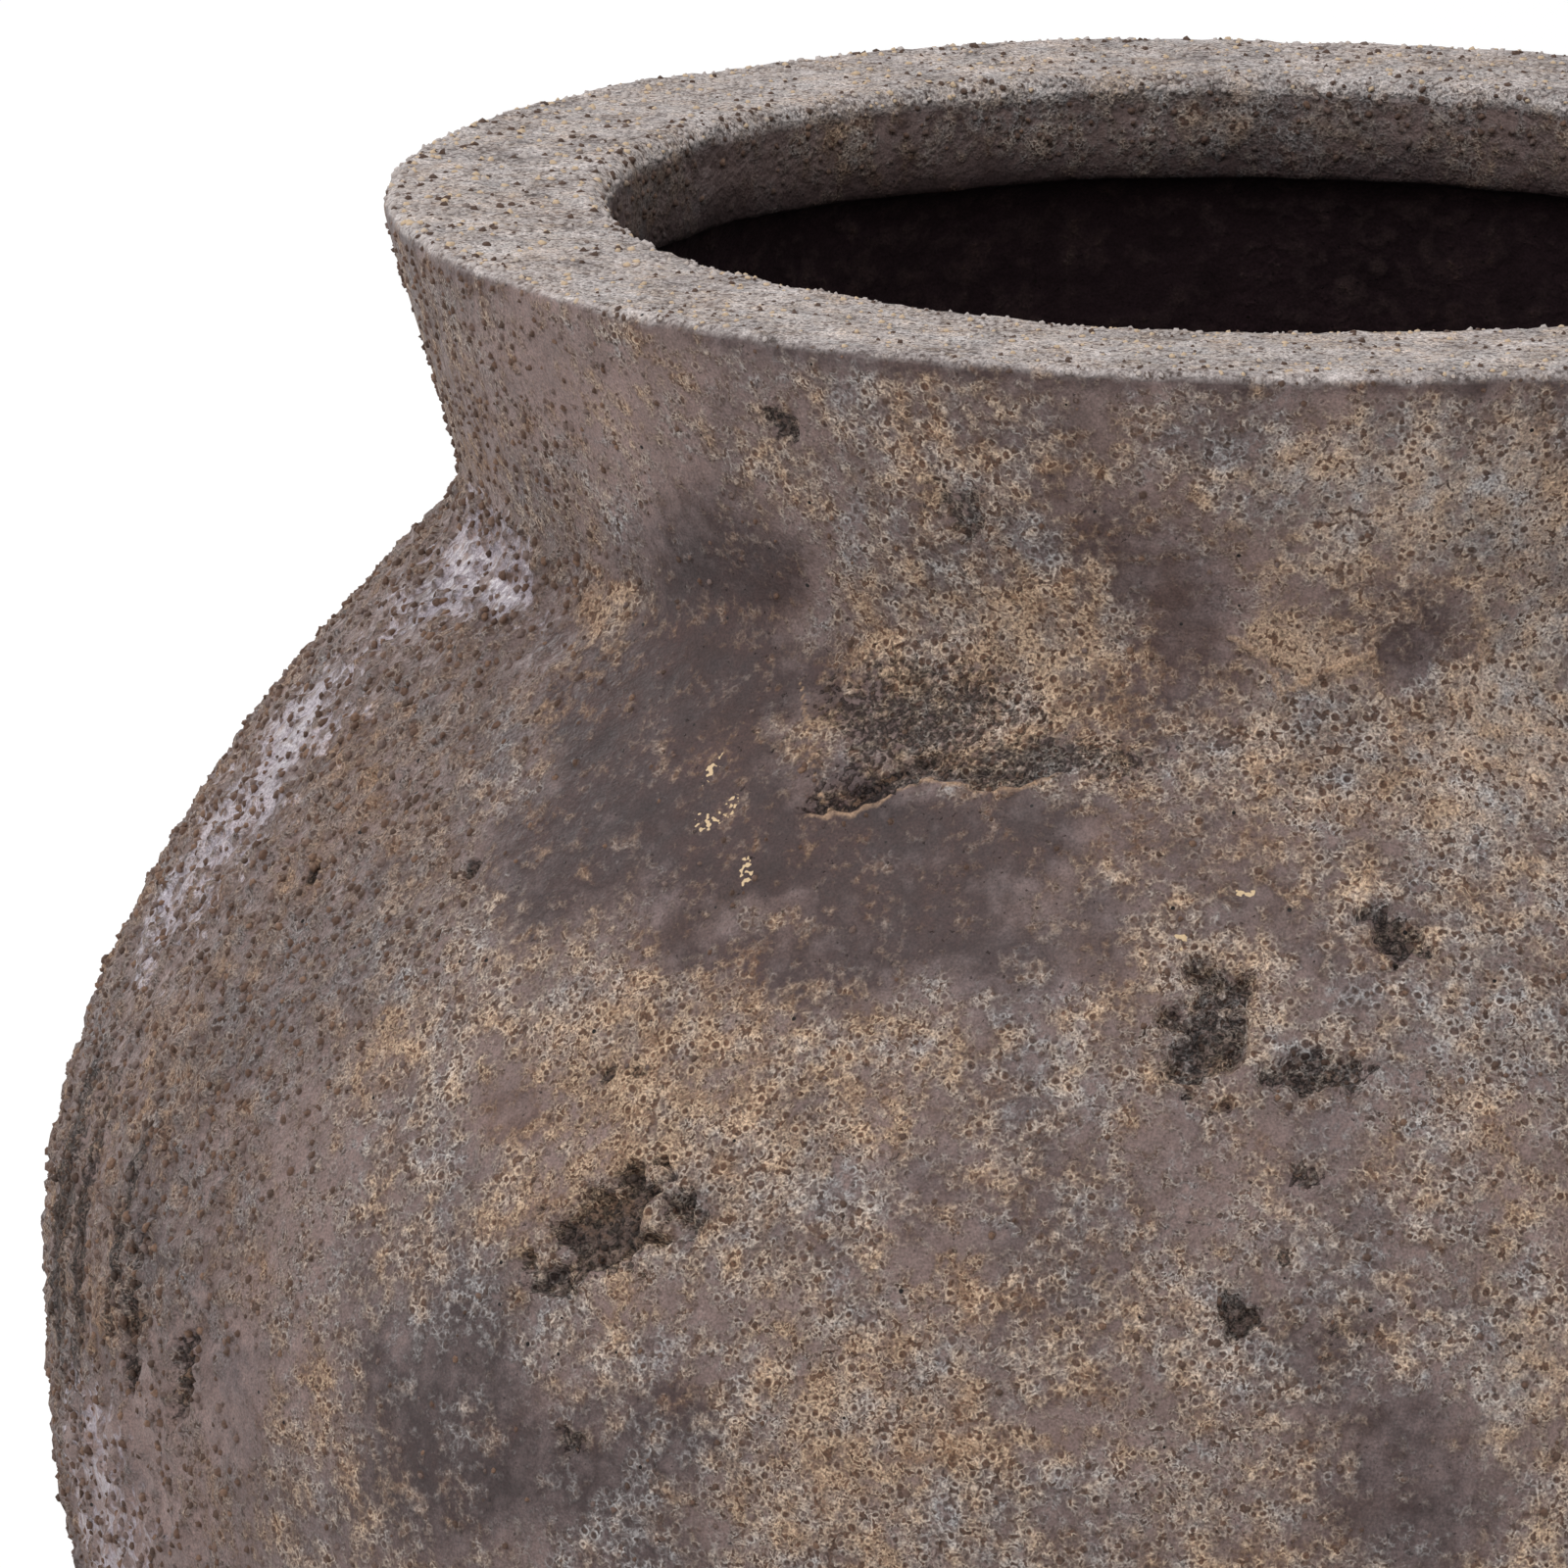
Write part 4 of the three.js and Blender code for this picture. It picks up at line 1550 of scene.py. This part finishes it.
    def refine(self, mesh: bpy.types.Mesh) -> None:
        """Cuts the faces under marks, crags and gritty edges finer, so that they can be ragged.

        Args:
            mesh: the turned wall, changed in place.
        """
        self.cut(mesh, self.limb(Skin(mesh, self.outline)), 2)
        self.cut(mesh, self.rim_edges(Skin(mesh, self.outline)), 1)
        self.cut(mesh, self.marks(Skin(mesh, self.outline), self.unseen_pits()), 1)
        skin = Skin(mesh, self.outline)
        wanted = self.marks(skin, FRONT_PITS)
        for crease in FRONT_CREASES:
            wanted |= skin.from_path(crease.path) < self.crease_room
        for scar in FRONT_SCARS:
            wanted |= skin.from_path(scar.lip) < self.scar_room
        for patch in FRONT_FLECKS:
            wanted |= np.hypot(*skin.leaned(patch)) < self.fleck_room
        self.cut(mesh, wanted, 3)

    @staticmethod
    def cut(mesh: bpy.types.Mesh, wanted: np.ndarray, cuts: int) -> None:
        """Cuts the faces round the wanted vertices into finer ones.

        Args:
            mesh: the mesh, changed in place.
            wanted: whether each vertex is wanted.
            cuts: the number of cuts across each edge.
        """
        work = bmesh.new()
        work.from_mesh(mesh)
        work.verts.ensure_lookup_table()
        faces = {f for i in np.nonzero(wanted)[0] for f in work.verts[i].link_faces}
        edges = list({e for f in faces for e in f.edges})
        edges.sort(key=lambda edge: edge.index)
        bmesh.ops.subdivide_edges(work, edges=edges, cuts=cuts, use_grid_fill=True)
        many = [f for f in work.faces if len(f.verts) > 4]
        bmesh.ops.triangulate(work, faces=many)
        work.to_mesh(mesh)
        work.free()
        mesh.update()

    def mark(self, skin: Skin, pits: Sequence[Pit]) -> None:
        """Presses every pit, crease, scar and fleck into the wall.

        Args:
            skin: the pot's skin.
            pits: the pits.
        """
        for pit in pits:
            skin.press_pit(pit)
        for crease in FRONT_CREASES:
            skin.crease(crease)
        for scar in FRONT_SCARS:
            skin.scar(scar)
        for fleck in FRONT_FLECKS:
            skin.fleck(fleck)

    def lay_crust(self, skin: Skin) -> None:
        """Sets how much crust and warm dust each place has, and where the rim and the inside are.

        Args:
            skin: the pot's skin, whose fields and lift are changed.
        """
        run, regions = self.outline.run(), self.outline.regions()
        share = {}
        for region in Region:
            here = np.array([float(r is region) for r in regions])
            share[region] = np.interp(skin.run, run, here)
        for weather in WEATHER:
            skin.weather(weather)
        craggy = self.craggy(skin)
        self.raise_crags(skin, craggy, share[Region.WALL])
        for patch in FRONT_PATCHES + self.unseen_patches():
            skin.tint(patch)
        self.sand_rim(skin, craggy, share)

    def craggy(self, skin: Skin) -> np.ndarray:
        """Finds how craggy the skin is: fully so on the left, and in large patches on the back.

        Args:
            skin: the pot's skin.

        Returns:
            Each vertex's share of crags.
        """
        start, full, wane, end = self.crag_turns
        left = smooth_step(end, wane, skin.turn) * smooth_step(start, full, skin.turn)
        back = smooth_step(50, 90, np.abs(skin.turn)) * (0.35 + 0.8 * rough(skin.places, 60.0))
        return np.maximum(left, np.clip(back, 0, 1))

    def raise_crags(self, skin: Skin, craggy: np.ndarray, wall: np.ndarray) -> None:
        """Raises knobs and crags on the craggy parts of the wall, and sets more grit there.

        Args:
            skin: the pot's skin.
            craggy: each vertex's share of crags.
            wall: each vertex's share of the outer wall.
        """
        spots, fields = skin.places, skin.fields
        knobs = smooth_step(0.0, 0.55, rough(spots + 200, self.knob_size)) * craggy * wall
        crags = craggy * wall * (0.6 * rough(spots, 6.5) + 0.25 * rough(spots, 1.6))
        skin.lift += self.knob_height * knobs + crags
        fields["grit"] += 0.3 * craggy
        fields["crust"] += 0.35 * knobs
        fields["sheen"] -= 0.5 * knobs

    def sand_rim(self, skin: Skin, craggy: np.ndarray, share: Mapping[Region, np.ndarray]) -> None:
        """Sands the rim and its edges, crusts the lip in patches and bares the inside. It paints shade into
        the band under the rim's edge, and down the lip into the dark inside.

        Args:
            skin: the pot's skin.
            craggy: each vertex's share of crags.
            share: each vertex's share of every region.
        """
        spots, fields, outline = skin.places, skin.fields, self.outline
        rim, lip, collar = share[Region.RIM], share[Region.LIP], share[Region.COLLAR]
        inside, under = share[Region.INSIDE], share[Region.UNDER]
        height, top, throat = spots[:, 2], outline.height, outline.lip_bottom
        bare = smooth_step(top - 4.5, top - 1.5, height + 2.5 * rough(spots, 9.0)) * collar
        corner = smooth_step(top - 1.8, top - 0.4, height + 0.7 * rough(spots, 4.0))
        patchy = 0.45 + 0.6 * rough(spots, 24.0) + 0.5 * rough(spots, 9.0) + 0.3 * rough(spots, 4.0)
        patchy = np.clip(patchy, 0.1, 0.9)
        crust = np.clip(fields["crust"], 0.1, 1.0) * (1 - 0.6 * bare) + 0.25 * rim
        crust = crust * (1 - lip) + patchy * lip
        fields["crust"] = crust * (1 - inside - 0.5 * under)
        skin.lift += (rim + bare) * (0.25 * rough(spots, 9.0) + 0.4 * rough(spots, 3.0))
        skin.lift += lip * (0.5 * rough(spots, 9.0) + 0.4 * rough(spots, 4.0))
        fields["warmth"] *= 1 - 0.2 * lip - 0.3 * rim
        # Painted shade in the band under the rim's edge, where the crust is also thinner.
        fields["shade"] += 0.3 * bare
        fields["film"] += 0.3 * rim + (patchy - 0.4) * lip
        grit = np.clip(fields["grit"], 0.02, 0.85) * (1 - 0.5 * bare)
        outer, inner = outline.rim_radius - 1.5, outline.mouth_radius + 0.5
        worn = 0.4 + 0.4 * smooth_step(8, 1, np.minimum(outer - skin.radius, skin.radius - inner))
        held = 0.6 * patchy * smooth_step(throat + 1, throat + 10, height)
        grit = grit * (1 - (rim + lip)) + worn * rim + held * lip
        grit = np.maximum(grit, 0.8 * corner * collar) * (1 - inside - 0.6 * under)
        pitted = np.maximum(fields["soot_and_shade"] - 0.6, 0) * 2
        fields["grit"] = np.maximum(grit, pitted * (1 - inside))
        fields["coarse"] = np.clip(0.25 + craggy, 0, 1) * (1 - 0.4 * rim - 0.45 * collar)
        fields["rim"] = rim + corner * collar
        # Painted shade: the lip darkens down towards the throat, into the dark inside.
        deep = 0.25 + 0.6 * smooth_step(throat + 11, throat, height + 2 * rough(spots, 9.0))
        fields["inside"] = inside + deep * lip


@dataclass(frozen=True)
class GritBand:
    """A band of the pot's height whose grains are one piece."""

    name: str
    low: float
    high: float


@dataclass
class GritCrust:
    """The grains that stand proud of the pot's skin, scattered by its crust, in bands of height.

    The samples are points a square millimetre, which find the cells. A cell's point may lie up to reach
    of a cell from the skin, and a grain is sunk by a share of its radius.
    """

    cells: GritCells
    finish: TemperGrain
    bands: tuple[GritBand, ...] = (
        GritBand("grit_lower_belly", -10, 120),
        GritBand("grit_under_belly", 120, 178),
        GritBand("grit_belly", 178, 232),
        GritBand("grit_upper_belly", 232, 285),
        GritBand("grit_shoulder", 285, 340),
        GritBand("grit_collar", 340, 400),
    )
    samples: float = 1.6
    reach: float = 0.4
    sunk: float = 0.2
    tiles: int = 110
    seed: int = 40
    broken_size: float = 0.7
    broken_depth: float = 1.6

    SPIN = ((0.0, 0.0, 0.0), (6.283, 6.283, 6.283))
    STRETCH = ((0.8, 0.8, 0.75), (1.25, 1.25, 1.1))
    WELD = 0.05
    INPUTS = {
        "Low": "NodeSocketFloat",
        "High": "NodeSocketFloat",
        "Samples": "NodeSocketFloat",
        "Cell": "NodeSocketFloat",
        "Least": "NodeSocketFloat",
        "More": "NodeSocketFloat",
        "Fine": "NodeSocketFloat",
        "Reach": "NodeSocketFloat",
        "Sunk": "NodeSocketFloat",
        "Tiles": "NodeSocketInt",
        "Seed": "NodeSocketInt",
        "Material": "NodeSocketMaterial",
    }

    def build(self, pot: bpy.types.Object) -> list[bpy.types.Object]:
        """Scatters the grains over the pot.

        Args:
            pot: the pot, with its crust in attributes.

        Returns:
            One piece a band.
        """
        tree = self.scatter()
        material = self.finish.material()
        pieces = []
        for number, band in enumerate(self.bands):
            values = {
                "Low": band.low * MM,
                "High": band.high * MM,
                "Samples": self.samples / MM**2,
                "Cell": self.cells.cell * MM,
                "Least": self.cells.least,
                "More": self.cells.more,
                "Fine": self.cells.fine,
                "Reach": self.reach,
                "Sunk": self.sunk,
                "Tiles": self.tiles,
                "Seed": self.seed + number,
                "Material": material,
            }
            piece = place(band.name, grown(pot, tree, values))
            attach(piece, "pot")
            LOG.info("%s: %d faces", band.name, len(piece.data.polygons))
            pieces.append(piece)
        return pieces

    def scatter(self) -> Tree:
        """Builds the tree that seats one grain in each cell that the skin passes through.

        Returns:
            The tree.
        """
        tree, given = node_group("temper_grains", self.INPUTS)
        position = add(tree, "InputPosition")
        cell = self.cell_at(tree, given, position)
        chance = add(tree, "FunctionNodeSeparateColor", [cell.outputs["Color"]]).node.outputs
        names = ("grit", "coarse", "soot_and_shade", "rim", "inside")
        read = {name: self.read(tree, given["Geometry"], name) for name in names}
        size = add(tree, "MULTIPLY_ADD", [chance["Green"], given["More"], given["Least"]])
        full = add(tree, "MULTIPLY", [size, given["Cell"]])
        share = add(tree, "MapRange", [read["coarse"], 0.0, 1.0, given["Fine"], 1.0])
        radius = add(tree, "MULTIPLY", [full, share])
        empty = add(tree, "Compare", [chance["Red"], read["grit"]], operation="GREATER_THAN")
        hidden = add(tree, "Compare", [read["inside"], 0.9], operation="GREATER_THAN")
        kept = self.settled(tree, given, position, radius, (empty, hidden))
        told = self.stones(tree, given, kept, radius)
        facts = [(name, read[name]) for name in ("soot_and_shade", "rim", "inside")]
        facts += [("grain", chance["Blue"]), ("size", radius), ("tile", add(tree, "InputIndex"))]
        for name, value in facts:
            fact = {"Geometry": told, "Name": name, "Value": value}
            told = add(tree, "StoreNamedAttribute", fact, data_type="FLOAT", domain="INSTANCE")
        real = add(tree, "RealizeInstances", [told])
        crushed = add(tree, "SetPosition", {"Geometry": real, "Offset": self.crush(tree, position)})
        smooth = add(tree, "SetShadeSmooth", {"Geometry": crushed, "Shade Smooth": True})
        tiles = {"Geometry": smooth, "Name": BAKE_MAP, "Value": self.tile_map(tree, given)}
        tiled = add(tree, "StoreNamedAttribute", tiles, data_type="FLOAT2", domain="CORNER")
        done = add(tree, "SetMaterial", {"Geometry": tiled, "Material": given["Material"]})
        add(tree, "NodeGroupOutput", [done])
        return tree

    def settled(
        self, tree: Tree, given: Given, position: Socket, radius: Socket, unheld: Sequence[Socket]
    ) -> Socket:
        """Drops the cells that hold no grain, and sinks the others' points into the skin.

        Args:
            tree: the tree.
            given: its inputs.
            position: each point's place.
            radius: each grain's radius.
            unheld: which points hold no grain, besides those too far from the skin.

        Returns:
            The points that are left.
        """
        skin = given["Geometry"]
        near = add(tree, "Proximity", [skin], out="Position", target_element="FACES")
        facing = {"Mesh": skin, "Value": add(tree, "InputNormal")}
        upright = add(tree, "SampleNearestSurface", facing, data_type="FLOAT_VECTOR")
        gap = add(tree, "VectorMath", [position, near], operation="SUBTRACT")
        above = add(tree, "VectorMath", [gap, upright], out="Value", operation="DOT_PRODUCT")
        level = add(tree, "DIVIDE", [above, given["Cell"]])
        off = add(tree, "ABSOLUTE", [level])
        drop = add(tree, "Compare", [off, given["Reach"]], operation="GREATER_THAN")
        for other in unheld:
            drop = add(tree, "BooleanMath", [drop, other], operation="OR")
        cells = {"Geometry": self.seats(tree, given), "Selection": drop}
        kept = add(tree, "DeleteGeometry", cells, domain="POINT")
        sunk = add(tree, "MULTIPLY", [radius, given["Sunk"]])
        down = add(tree, "VectorMath", {0: upright, "Scale": sunk}, operation="SCALE")
        seat = add(tree, "VectorMath", [near, down], operation="SUBTRACT")
        return add(tree, "SetPosition", {"Geometry": kept, "Position": seat})

    def stones(self, tree: Tree, given: Given, points: Socket, radius: Socket) -> Socket:
        """Sets a stone on each point, turned and stretched by chance.

        Args:
            tree: the tree.
            given: its inputs.
            points: the points.
            radius: each stone's radius.

        Returns:
            The stones, as instances.
        """
        stone = add(tree, "MeshIcoSphere", [1.0, 1], out="Mesh").node.outputs
        own = {"Geometry": stone["Mesh"], "Name": "own_map", "Value": stone["UV Map"]}
        mapped = add(tree, "StoreNamedAttribute", own, data_type="FLOAT2", domain="CORNER")
        spin, stretch = (
            add(tree, "RandomValue", {0: least, 1: most, "Seed": given["Seed"]}, data_type="FLOAT_VECTOR")
            for least, most in (self.SPIN, self.STRETCH)
        )
        scale = add(tree, "VectorMath", {0: stretch, "Scale": radius}, operation="SCALE")
        grains = {"Points": points, "Instance": mapped, "Rotation": spin, "Scale": scale}
        return add(tree, "InstanceOnPoints", grains)

    def crush(self, tree: Tree, where: Socket) -> Socket:
        """Breaks the grains out of round, by up to half their radius.

        Args:
            tree: the tree.
            where: each vertex's place.

        Returns:
            How far each vertex moves.
        """
        size = add(tree, "InputNamedAttribute", ["size"], out="Attribute", data_type="FLOAT")
        push = add(tree, "TexNoise", {"Vector": where, "Scale": repeats(self.broken_size)}, out="Color")
        centred = add(tree, "VectorMath", [push, (0.5, 0.5, 0.5)], operation="SUBTRACT")
        wide = add(tree, "MULTIPLY", [size, self.broken_depth])
        return add(tree, "VectorMath", {0: centred, "Scale": wide}, operation="SCALE")

    def cell_at(self, tree: Tree, given: Given, where: Socket) -> bpy.types.Node:
        """The grit's pattern at a place, as the slip's finish reads it."""
        scale = add(tree, "DIVIDE", [1.0, given["Cell"]])
        return add(tree, "TexVoronoi", {"Vector": where, "Scale": scale}).node

    def seats(self, tree: Tree, given: Given) -> Socket:
        """Points at the middles of the cells that a band of the skin passes through.

        Args:
            tree: the tree.
            given: its inputs.

        Returns:
            The points, one a cell.
        """
        position = add(tree, "InputPosition")
        height = add(tree, "SeparateXYZ", [position]).node.outputs["Z"]
        over = add(tree, "Compare", [height, given["Low"]], operation="GREATER_EQUAL")
        under = add(tree, "Compare", [height, given["High"]], operation="LESS_THAN")
        band = add(tree, "BooleanMath", [over, under], operation="AND")
        spread = {"Mesh": given["Geometry"], "Selection": band, "Density": given["Samples"]}
        spread["Seed"] = given["Seed"]
        dots = add(tree, "DistributePointsOnFaces", spread, distribute_method="RANDOM")
        cell = self.cell_at(tree, given, position)
        moved = add(tree, "SetPosition", {"Geometry": dots, "Position": cell.outputs["Position"]})
        return add(tree, "MergeByDistance", {"Geometry": moved, "Distance": self.WELD * MM})

    def read(self, tree: Tree, skin: Socket, name: str) -> Socket:
        """A field of the skin at the nearest place on it."""
        named = add(tree, "InputNamedAttribute", [name], out="Attribute", data_type="FLOAT")
        return add(tree, "SampleNearestSurface", {"Mesh": skin, "Value": named}, data_type="FLOAT")

    def tile_map(self, tree: Tree, given: Given) -> Socket:
        """Gives each grain a tile of its own on the map, laid out in rows.

        Args:
            tree: the tree.
            given: its inputs.

        Returns:
            The place on the map.
        """
        own = add(tree, "InputNamedAttribute", ["own_map"], out="Attribute", data_type="FLOAT_VECTOR")
        tile = add(tree, "InputNamedAttribute", ["tile"], out="Attribute", data_type="FLOAT")
        column = add(tree, "FLOORED_MODULO", [tile, given["Tiles"]])
        rows = add(tree, "DIVIDE", [tile, given["Tiles"]])
        row = add(tree, "FLOOR", [rows])
        corner = add(tree, "CombineXYZ", [column, row, 0.0])
        both = add(tree, "VectorMath", [own, corner], operation="ADD")
        share = add(tree, "DIVIDE", [1.0, given["Tiles"]])
        return add(tree, "VectorMath", {0: both, "Scale": share}, operation="SCALE")


@dataclass
class RubberFittings:
    """The drain bung and the foot pads, whose solids have the right shape and only need a finish."""

    bung: MouldedRubber = MouldedRubber("bung_rubber", "2b2a29", "4a4744", 2.0)
    pads: MouldedRubber = MouldedRubber("pad_rubber", "201f1f", "3d3a38", 1.6)

    def dress(self, nodes: Mapping[str, bpy.types.Object]) -> None:
        """Gives the rubber pieces their finish.

        Args:
            nodes: the frame's objects by name.
        """
        bung, pads = self.bung.material(), self.pads.material()
        for name, node in nodes.items():
            if name == "pot_body":
                continue
            node.data.materials.clear()
            node.data.materials.append(bung if name == "drain_bung" else pads)
            LOG.info("%s: rubber", name)


@dataclass(frozen=True)
class Studio:
    """A pale floor in a white room, soft lamps, and the camera of the photograph.

    The frame and the aim are in the photograph's pixels. The lamps, the floor and what the camera clips
    are in metres.
    """

    lens: float = 336.18
    sensor: float = 36.0
    frame: float = 1600.0
    distance: float = 2400.0
    elevation: float = 10.865
    roll: float = 1.105
    aim: tuple[float, float] = (1299.3, 201.5)
    rim_height: float = 390.0
    clip: tuple[float, float] = (0.05, 100.0)
    lit_height: float = 0.25
    room: float = 0.56
    floor_size: float = 40.0
    floor_paint: str = "e6e6e6"
    floor_glow: float = 1.13
    floor_white: float = 0.75

    def build(self) -> None:
        """Sets the camera, the lamps, the room and the floor."""
        self.camera()
        self.lamps()
        self.surround()
        self.floor()
        bpy.context.scene.view_settings.view_transform = "Standard"

    def camera(self) -> None:
        """Stands the camera where the rim's ellipses say, turned to the middle of the picture."""
        tilt, roll = math.radians(self.elevation), math.radians(self.roll)
        ahead = Vector((0, math.cos(tilt), -math.sin(tilt)))
        above = Vector((0, math.sin(tilt), math.cos(tilt)))
        right = Vector((1, 0, 0))
        spot = Vector((0, 0, self.rim_height)) - ahead * self.distance
        reach = self.lens / self.sensor * self.frame
        across, down = self.frame / 2 - self.aim[0], self.frame / 2 - self.aim[1]
        side = math.cos(roll) * across + math.sin(roll) * down
        drop = math.cos(roll) * down - math.sin(roll) * across
        look = (ahead * reach + right * side - above * drop).normalized()
        level = right * math.cos(roll) + above * math.sin(roll)
        level = (level - look * level.dot(look)).normalized()
        upright = level.cross(look)
        turn = Matrix((level, upright, -look)).transposed().to_4x4()
        data = bpy.data.cameras.new("photo_camera")
        data.lens, data.sensor_width, data.sensor_fit = self.lens, self.sensor, "HORIZONTAL"
        data.clip_start, data.clip_end = self.clip
        camera = bpy.data.objects.new("photo_camera", data)
        camera.matrix_world = Matrix.Translation(spot * MM) @ turn
        bpy.context.scene.collection.objects.link(camera)
        bpy.context.scene.camera = camera

    def lamps(self) -> None:
        """Hangs a wide soft lamp above the front, a weak one at the left, and one that lights edges."""
        for name, spot, size, power in (
            ("top_lamp", (-0.5, -1.0, 2.6), 2.4, 30.0),
            ("left_lamp", (-2.6, -1.2, 1.2), 1.8, 10.0),
            ("edge_lamp", (-1.6, 2.0, 1.15), 1.0, 17.0),
        ):
            data = bpy.data.lights.new(name, "AREA")
            data.shape, data.size, data.energy = "DISK", size, power
            lamp = bpy.data.objects.new(name, data)
            lamp.location = spot
            aim = Vector((0, 0, self.lit_height)) - Vector(spot)
            lamp.rotation_euler = aim.to_track_quat("-Z", "Y").to_euler()
            bpy.context.scene.collection.objects.link(lamp)

    @staticmethod
    def to_eye(tree: Tree) -> Socket:
        """Picks the rays that reach the eye, straight, in gloss or through glass.

        Args:
            tree: the tree.

        Returns:
            1 for such a ray and 0 for any other.
        """
        rays = add(tree, "LightPath").node.outputs
        seen = rays["Is Camera Ray"]
        for kind in ("Is Glossy Ray", "Is Transmission Ray"):
            seen = add(tree, "MAXIMUM", [seen, rays[kind]])
        return seen

    def surround(self) -> None:
        """Makes the room white to the eye and in gloss, and dimmer as a light."""
        world = bpy.data.worlds.new("white_room")
        tree = emptied(world)
        strength = add(tree, "MapRange", [self.to_eye(tree), 0.0, 1.0, self.room, 1.0])
        light = add(tree, "Background", {"Color": (1, 1, 1, 1), "Strength": strength})
        add(tree, "OutputWorld", [light])
        bpy.context.scene.world = world

    def floor(self) -> None:
        """Lays a pale floor that is white to the eye and keeps the pot's shadow."""
        half = self.floor_size / 2
        mesh = bpy.data.meshes.new("floor")
        corners = [(-half, -half, 0), (half, -half, 0), (half, half, 0), (-half, half, 0)]
        mesh.from_pydata(corners, [], [(0, 1, 2, 3)])
        material = bpy.data.materials.new("pale_floor")
        tree = emptied(material)
        paint = add(tree, "BsdfDiffuse", {"Color": linear(self.floor_paint)})
        glow = add(tree, "Emission", {"Color": (1, 1, 1, 1), "Strength": self.floor_glow})
        share = add(tree, "MULTIPLY", [self.to_eye(tree), self.floor_white])
        mixed = add(tree, "MixShader", [share, paint, glow])
        add(tree, "OutputMaterial", [mixed])
        mesh.materials.append(material)
        place("floor", mesh)


def main() -> None:
    """Builds the planter's looks around its frame and writes how large they are."""
    logging.basicConfig(level=logging.INFO, format="%(name)s %(message)s")
    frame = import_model()
    cells = GritCells()
    pot = PotShell(Lathe(), FiredSlip(cells)).build()
    GritCrust(cells, TemperGrain()).build(pot)
    RubberFittings().dress(frame["nodes"])
    Studio().build()


if __name__ == "__main__":
    main()
